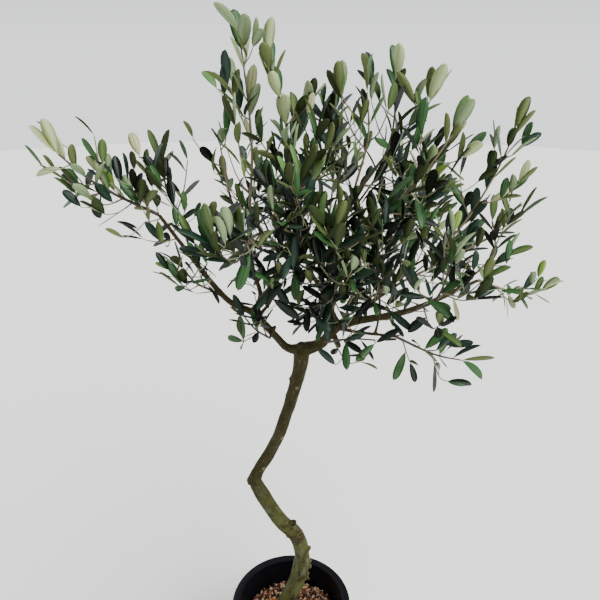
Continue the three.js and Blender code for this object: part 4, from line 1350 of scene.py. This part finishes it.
def soil_finish(settings):
    """Dark damp mix with paler crumbs."""
    soil = Finish("soil", settings.soil, 0.95)
    crumbs = soil.noise(soil.place(), *CRUMBS)
    colour = soil.mix(crumbs.band(0.45, 0.7), settings.soil, settings.chip_dark)
    soil.feed({"Base Color": colour})
    soil.bump(crumbs, 0.003, 1.0)
    return soil


# ---- stage

class OLIVE_OT_set_stage(bpy.types.Operator):
    """Pale floor, soft studio light and the camera"""
    bl_idname = "olive_tree.set_stage"
    bl_label = "Set Stage"

    def execute(self, context):
        scene, settings = context.scene, context.scene.olive_stage
        bm = bmesh.new()
        bmesh.ops.create_circle(bm, cap_ends=True, segments=FLOOR_STEPS, radius=FLOOR_RADIUS)
        bmesh.ops.recalc_face_normals(bm, faces=bm.faces)
        floor = loose("floor", mesh_of("floor", bm))
        floor.data.materials.append(plain(settings, "floor", 0.9).material)
        floor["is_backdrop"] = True
        scene.world = bpy.data.worlds.new("studio")
        sky = Nodes(scene.world, "Background")
        around = sky.node("ShaderNodeTexCoord", {}).outputs["Generated"]
        height = sky.node("ShaderNodeSeparateXYZ", {"Vector": around}).outputs["Z"]
        fill = sky.node("ShaderNodeMapRange", {
            "Value": height, "From Max": FILL_HEIGHT, "To Min": settings.fill,
            "To Max": settings.fill * TOP_FILL}).outputs["Result"]
        sky.feed({"Color": (*settings.sky, 1), "Strength": fill})
        for name, place, spread, power in (
                ("key", KEY_PLACE, KEY_SPREAD, settings.key),
                ("rim", RIM_PLACE, RIM_SPREAD, settings.key * RIM_SHARE)):
            light = bpy.data.lights.new(name, "SUN")
            light.angle, light.energy = spread, power
            lamp = loose(name, light)
            lamp.location = place
            lamp.rotation_euler = (-lamp.location).to_track_quat("-Z", "Y").to_euler()
        camera = bpy.data.cameras.new("camera")
        camera.lens, camera.sensor_width = settings.lens, SENSOR
        eye = scene.camera = loose("camera", camera)
        eye.location, eye.rotation_euler = CAMERA_PLACE, (settings.pitch, 0, 0)
        return {"FINISHED"}


# ---- settings

def paint(code):
    """A colour from its six-figure code, as light adds up."""
    parts = (int(code[i:i + 2], 16) / 255 for i in (0, 2, 4))
    return tuple(p / 12.92 if p <= 0.04045 else ((p + 0.055) / 1.055) ** 2.4 for p in parts)


def colour(name, description, code):
    return FloatVectorProperty(name=name, description=description, subtype="COLOR", size=3,
                               min=0, max=1, default=paint(code))


def number(name, description, default, **limits):
    return FloatProperty(name=name, description=description, default=default, **limits)


def length(name, description, default):
    return number(name, description, default, min=0, unit="LENGTH", precision=4)


class OliveWoodSettings(bpy.types.PropertyGroup):
    """Trunk, boughs and twigs"""
    fineness: length("Fineness", "Size of the grid that the wood's skin is made on", 0.0015)
    relief: length("Relief", "Depth of the bark's lumps and ridges", 0.001)
    brown: colour("Bark Brown", "Smooth bark on the upper trunk", "251d09")
    olive: colour("Bark Olive", "Greenish streaks along the bark", "332f0d")
    grey: colour("Bark Grey", "Weathered patches", "515843")
    moss: colour("Moss", "Yellow-green film on the lower trunk", "494d26")
    lichen: colour("Lichen", "Yellow crust round the knots", "6e6a36")
    scar: colour("Scars", "Pale breathing spots and scars", "7f7656")
    crack: colour("Cracks", "Dark cracks in the bark", "17130d")
    young: colour("Young Bark", "Grey-brown bark of the thin boughs", "3c3320")
    twig_old: colour("Old Twigs", "Leafy stems", "433b2e")
    twig_tan: colour("Tan Twigs", "Twigs of last year", "776d53")
    twig_green: colour("Green Twigs", "Twigs of this year", "767c5b")


class OliveFoliageSettings(bpy.types.PropertyGroup):
    """Leaves, their spacing and their colours"""
    leaf_length: length("Leaf Length", "Length of a full-grown leaf", 0.0505)
    leaf_width: length("Leaf Width", "Width of a full-grown leaf", 0.0166)
    pair_spacing: length("Pair Spacing", "Distance between pairs of leaves on a shoot", 0.021)
    leaf_lean: number("Leaf Lean", "Angle between a leaf and its shoot", math.radians(43), min=0,
                      max=math.pi / 2, subtype="ANGLE")
    # Blade colours from deep to light: painted shade inside the crown to painted light on the outer
    # shoots, and blue a painted reflection of the sky on dark leaves; young and cream are new
    # leaves at the tips
    leaf_deep: colour("Deep", "Leaves inside the crown", "010502")
    leaf_dark: colour("Dark", "Dark leaves", "071809")
    leaf_blue: colour("Blue", "Dark leaves that reflect the sky", "163022")
    leaf_mid: colour("Middle", "Leaves in half light", "30572a")
    leaf_olive: colour("Olive", "Yellower leaves", "485f2d")
    leaf_light: colour("Light", "Leaves of the outer shoots", "618849")
    leaf_young: colour("Young", "New leaves at the tips", "789437")
    leaf_cream: colour("Cream", "A few pale new leaves", "b4b888")
    # Underside colours from dim to pale: painted shade inside the crown to painted light on the
    # outer leaves; silver is the leaves' own silvery underside with a painted reflection of the sky
    underside_dim: colour("Dim Underside", "Undersides deep inside the crown", "0e1406")
    underside_dull: colour("Dull Underside", "Undersides inside the crown", "323d1f")
    underside_sage: colour("Sage Underside", "Undersides in half light", "616d41")
    underside_silver: colour("Silver Underside", "Undersides that reflect the sky", "84976f")
    underside_pale: colour("Pale Underside", "Undersides of the outer leaves", "acbc87")
    # Ribs: dark on the painted shade leaves, pale on the painted light ones
    rib_dark: colour("Dark Leaf Rib", "Rib of a dark leaf", "293924")
    rib_pale: colour("Pale Leaf Rib", "Rib of a light leaf", "636f40")


class OlivePotSettings(bpy.types.PropertyGroup):
    """Pot, soil and bark chips"""
    edge: length("Edge Radius", "Rounding of the pot's edges", 0.0009)
    chips: IntProperty(name="Chips", description="How many bark chips lie on the soil",
                       default=3300, min=0, max=5000)
    black: colour("Pot", "Black plastic", "06080c")
    dust: colour("Dust", "Dust and scuffs on the plastic", "11141a")
    soil: colour("Soil", "Damp mix between the chips", "19120e")
    chip_rust: colour("Rust Chips", "Red-brown chips", "64381c")
    chip_tan: colour("Tan Chips", "Light brown chips", "93663d")
    chip_dark: colour("Dark Chips", "Wet chips", "27170e")
    chip_red: colour("Red Chips", "Deep red-brown chips", "422213")
    chip_pale: colour("Pale Chips", "Dry chips with a pale face", "ac8e73")


class OliveStageSettings(bpy.types.PropertyGroup):
    """Camera, floor and light"""
    lens: number("Lens", "Focal length of the camera", 36, min=1, unit="CAMERA")
    pitch: number("Pitch", "Tilt of the camera from straight down", math.radians(67),
                  subtype="ANGLE")
    key: number("Key Light", "Strength of the main light", 5.3, min=0)
    fill: number("Fill", "Strength of the light from the horizon", 1.9, min=0)
    floor: colour("Floor", "Floor", "f3f3f0")
    sky: colour("Surround", "Light from all around", "e2e4e6")


OPERATORS = (OLIVE_OT_mould_pot, OLIVE_OT_scatter_chips, OLIVE_OT_grow_wood,
             OLIVE_OT_grow_twigs, OLIVE_OT_grow_leaves, OLIVE_OT_set_stage)
SETTINGS = {"olive_wood": OliveWoodSettings, "olive_foliage": OliveFoliageSettings,
            "olive_pot": OlivePotSettings, "olive_stage": OliveStageSettings}


class OLIVE_PT_tree(bpy.types.Panel):
    """Steps and settings of the olive tree"""
    bl_idname = "OLIVE_PT_tree"
    bl_label = "Olive Tree"
    bl_category = "Olive Tree"
    bl_space_type = "VIEW_3D"
    bl_region_type = "UI"

    def draw(self, context):
        for operator in OPERATORS:
            self.layout.operator(operator.bl_idname)
        for name, group in SETTINGS.items():
            box = self.layout.box()
            for prop in group.__annotations__:
                box.prop(getattr(context.scene, name), prop)


def register():
    for kind in (*SETTINGS.values(), *OPERATORS, OLIVE_PT_tree):
        bpy.utils.register_class(kind)
    for name, group in SETTINGS.items():
        setattr(bpy.types.Scene, name, PointerProperty(type=group))


def unregister():
    for name in SETTINGS:
        delattr(bpy.types.Scene, name)
    for kind in (OLIVE_PT_tree, *reversed(OPERATORS), *reversed(SETTINGS.values())):
        bpy.utils.unregister_class(kind)


def main():
    register()
    bpy.ops.olive_tree.mould_pot()
    bpy.ops.olive_tree.scatter_chips()
    bpy.ops.olive_tree.grow_wood()
    bpy.ops.olive_tree.grow_twigs()
    bpy.ops.olive_tree.grow_leaves()
    bpy.ops.olive_tree.set_stage()
    boxes = {"cad": CAD_BOX, "visual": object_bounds()}
    {name: [list(corner) for corner in box] for name, box in boxes.items()}


if __name__ == "__main__":
    main()
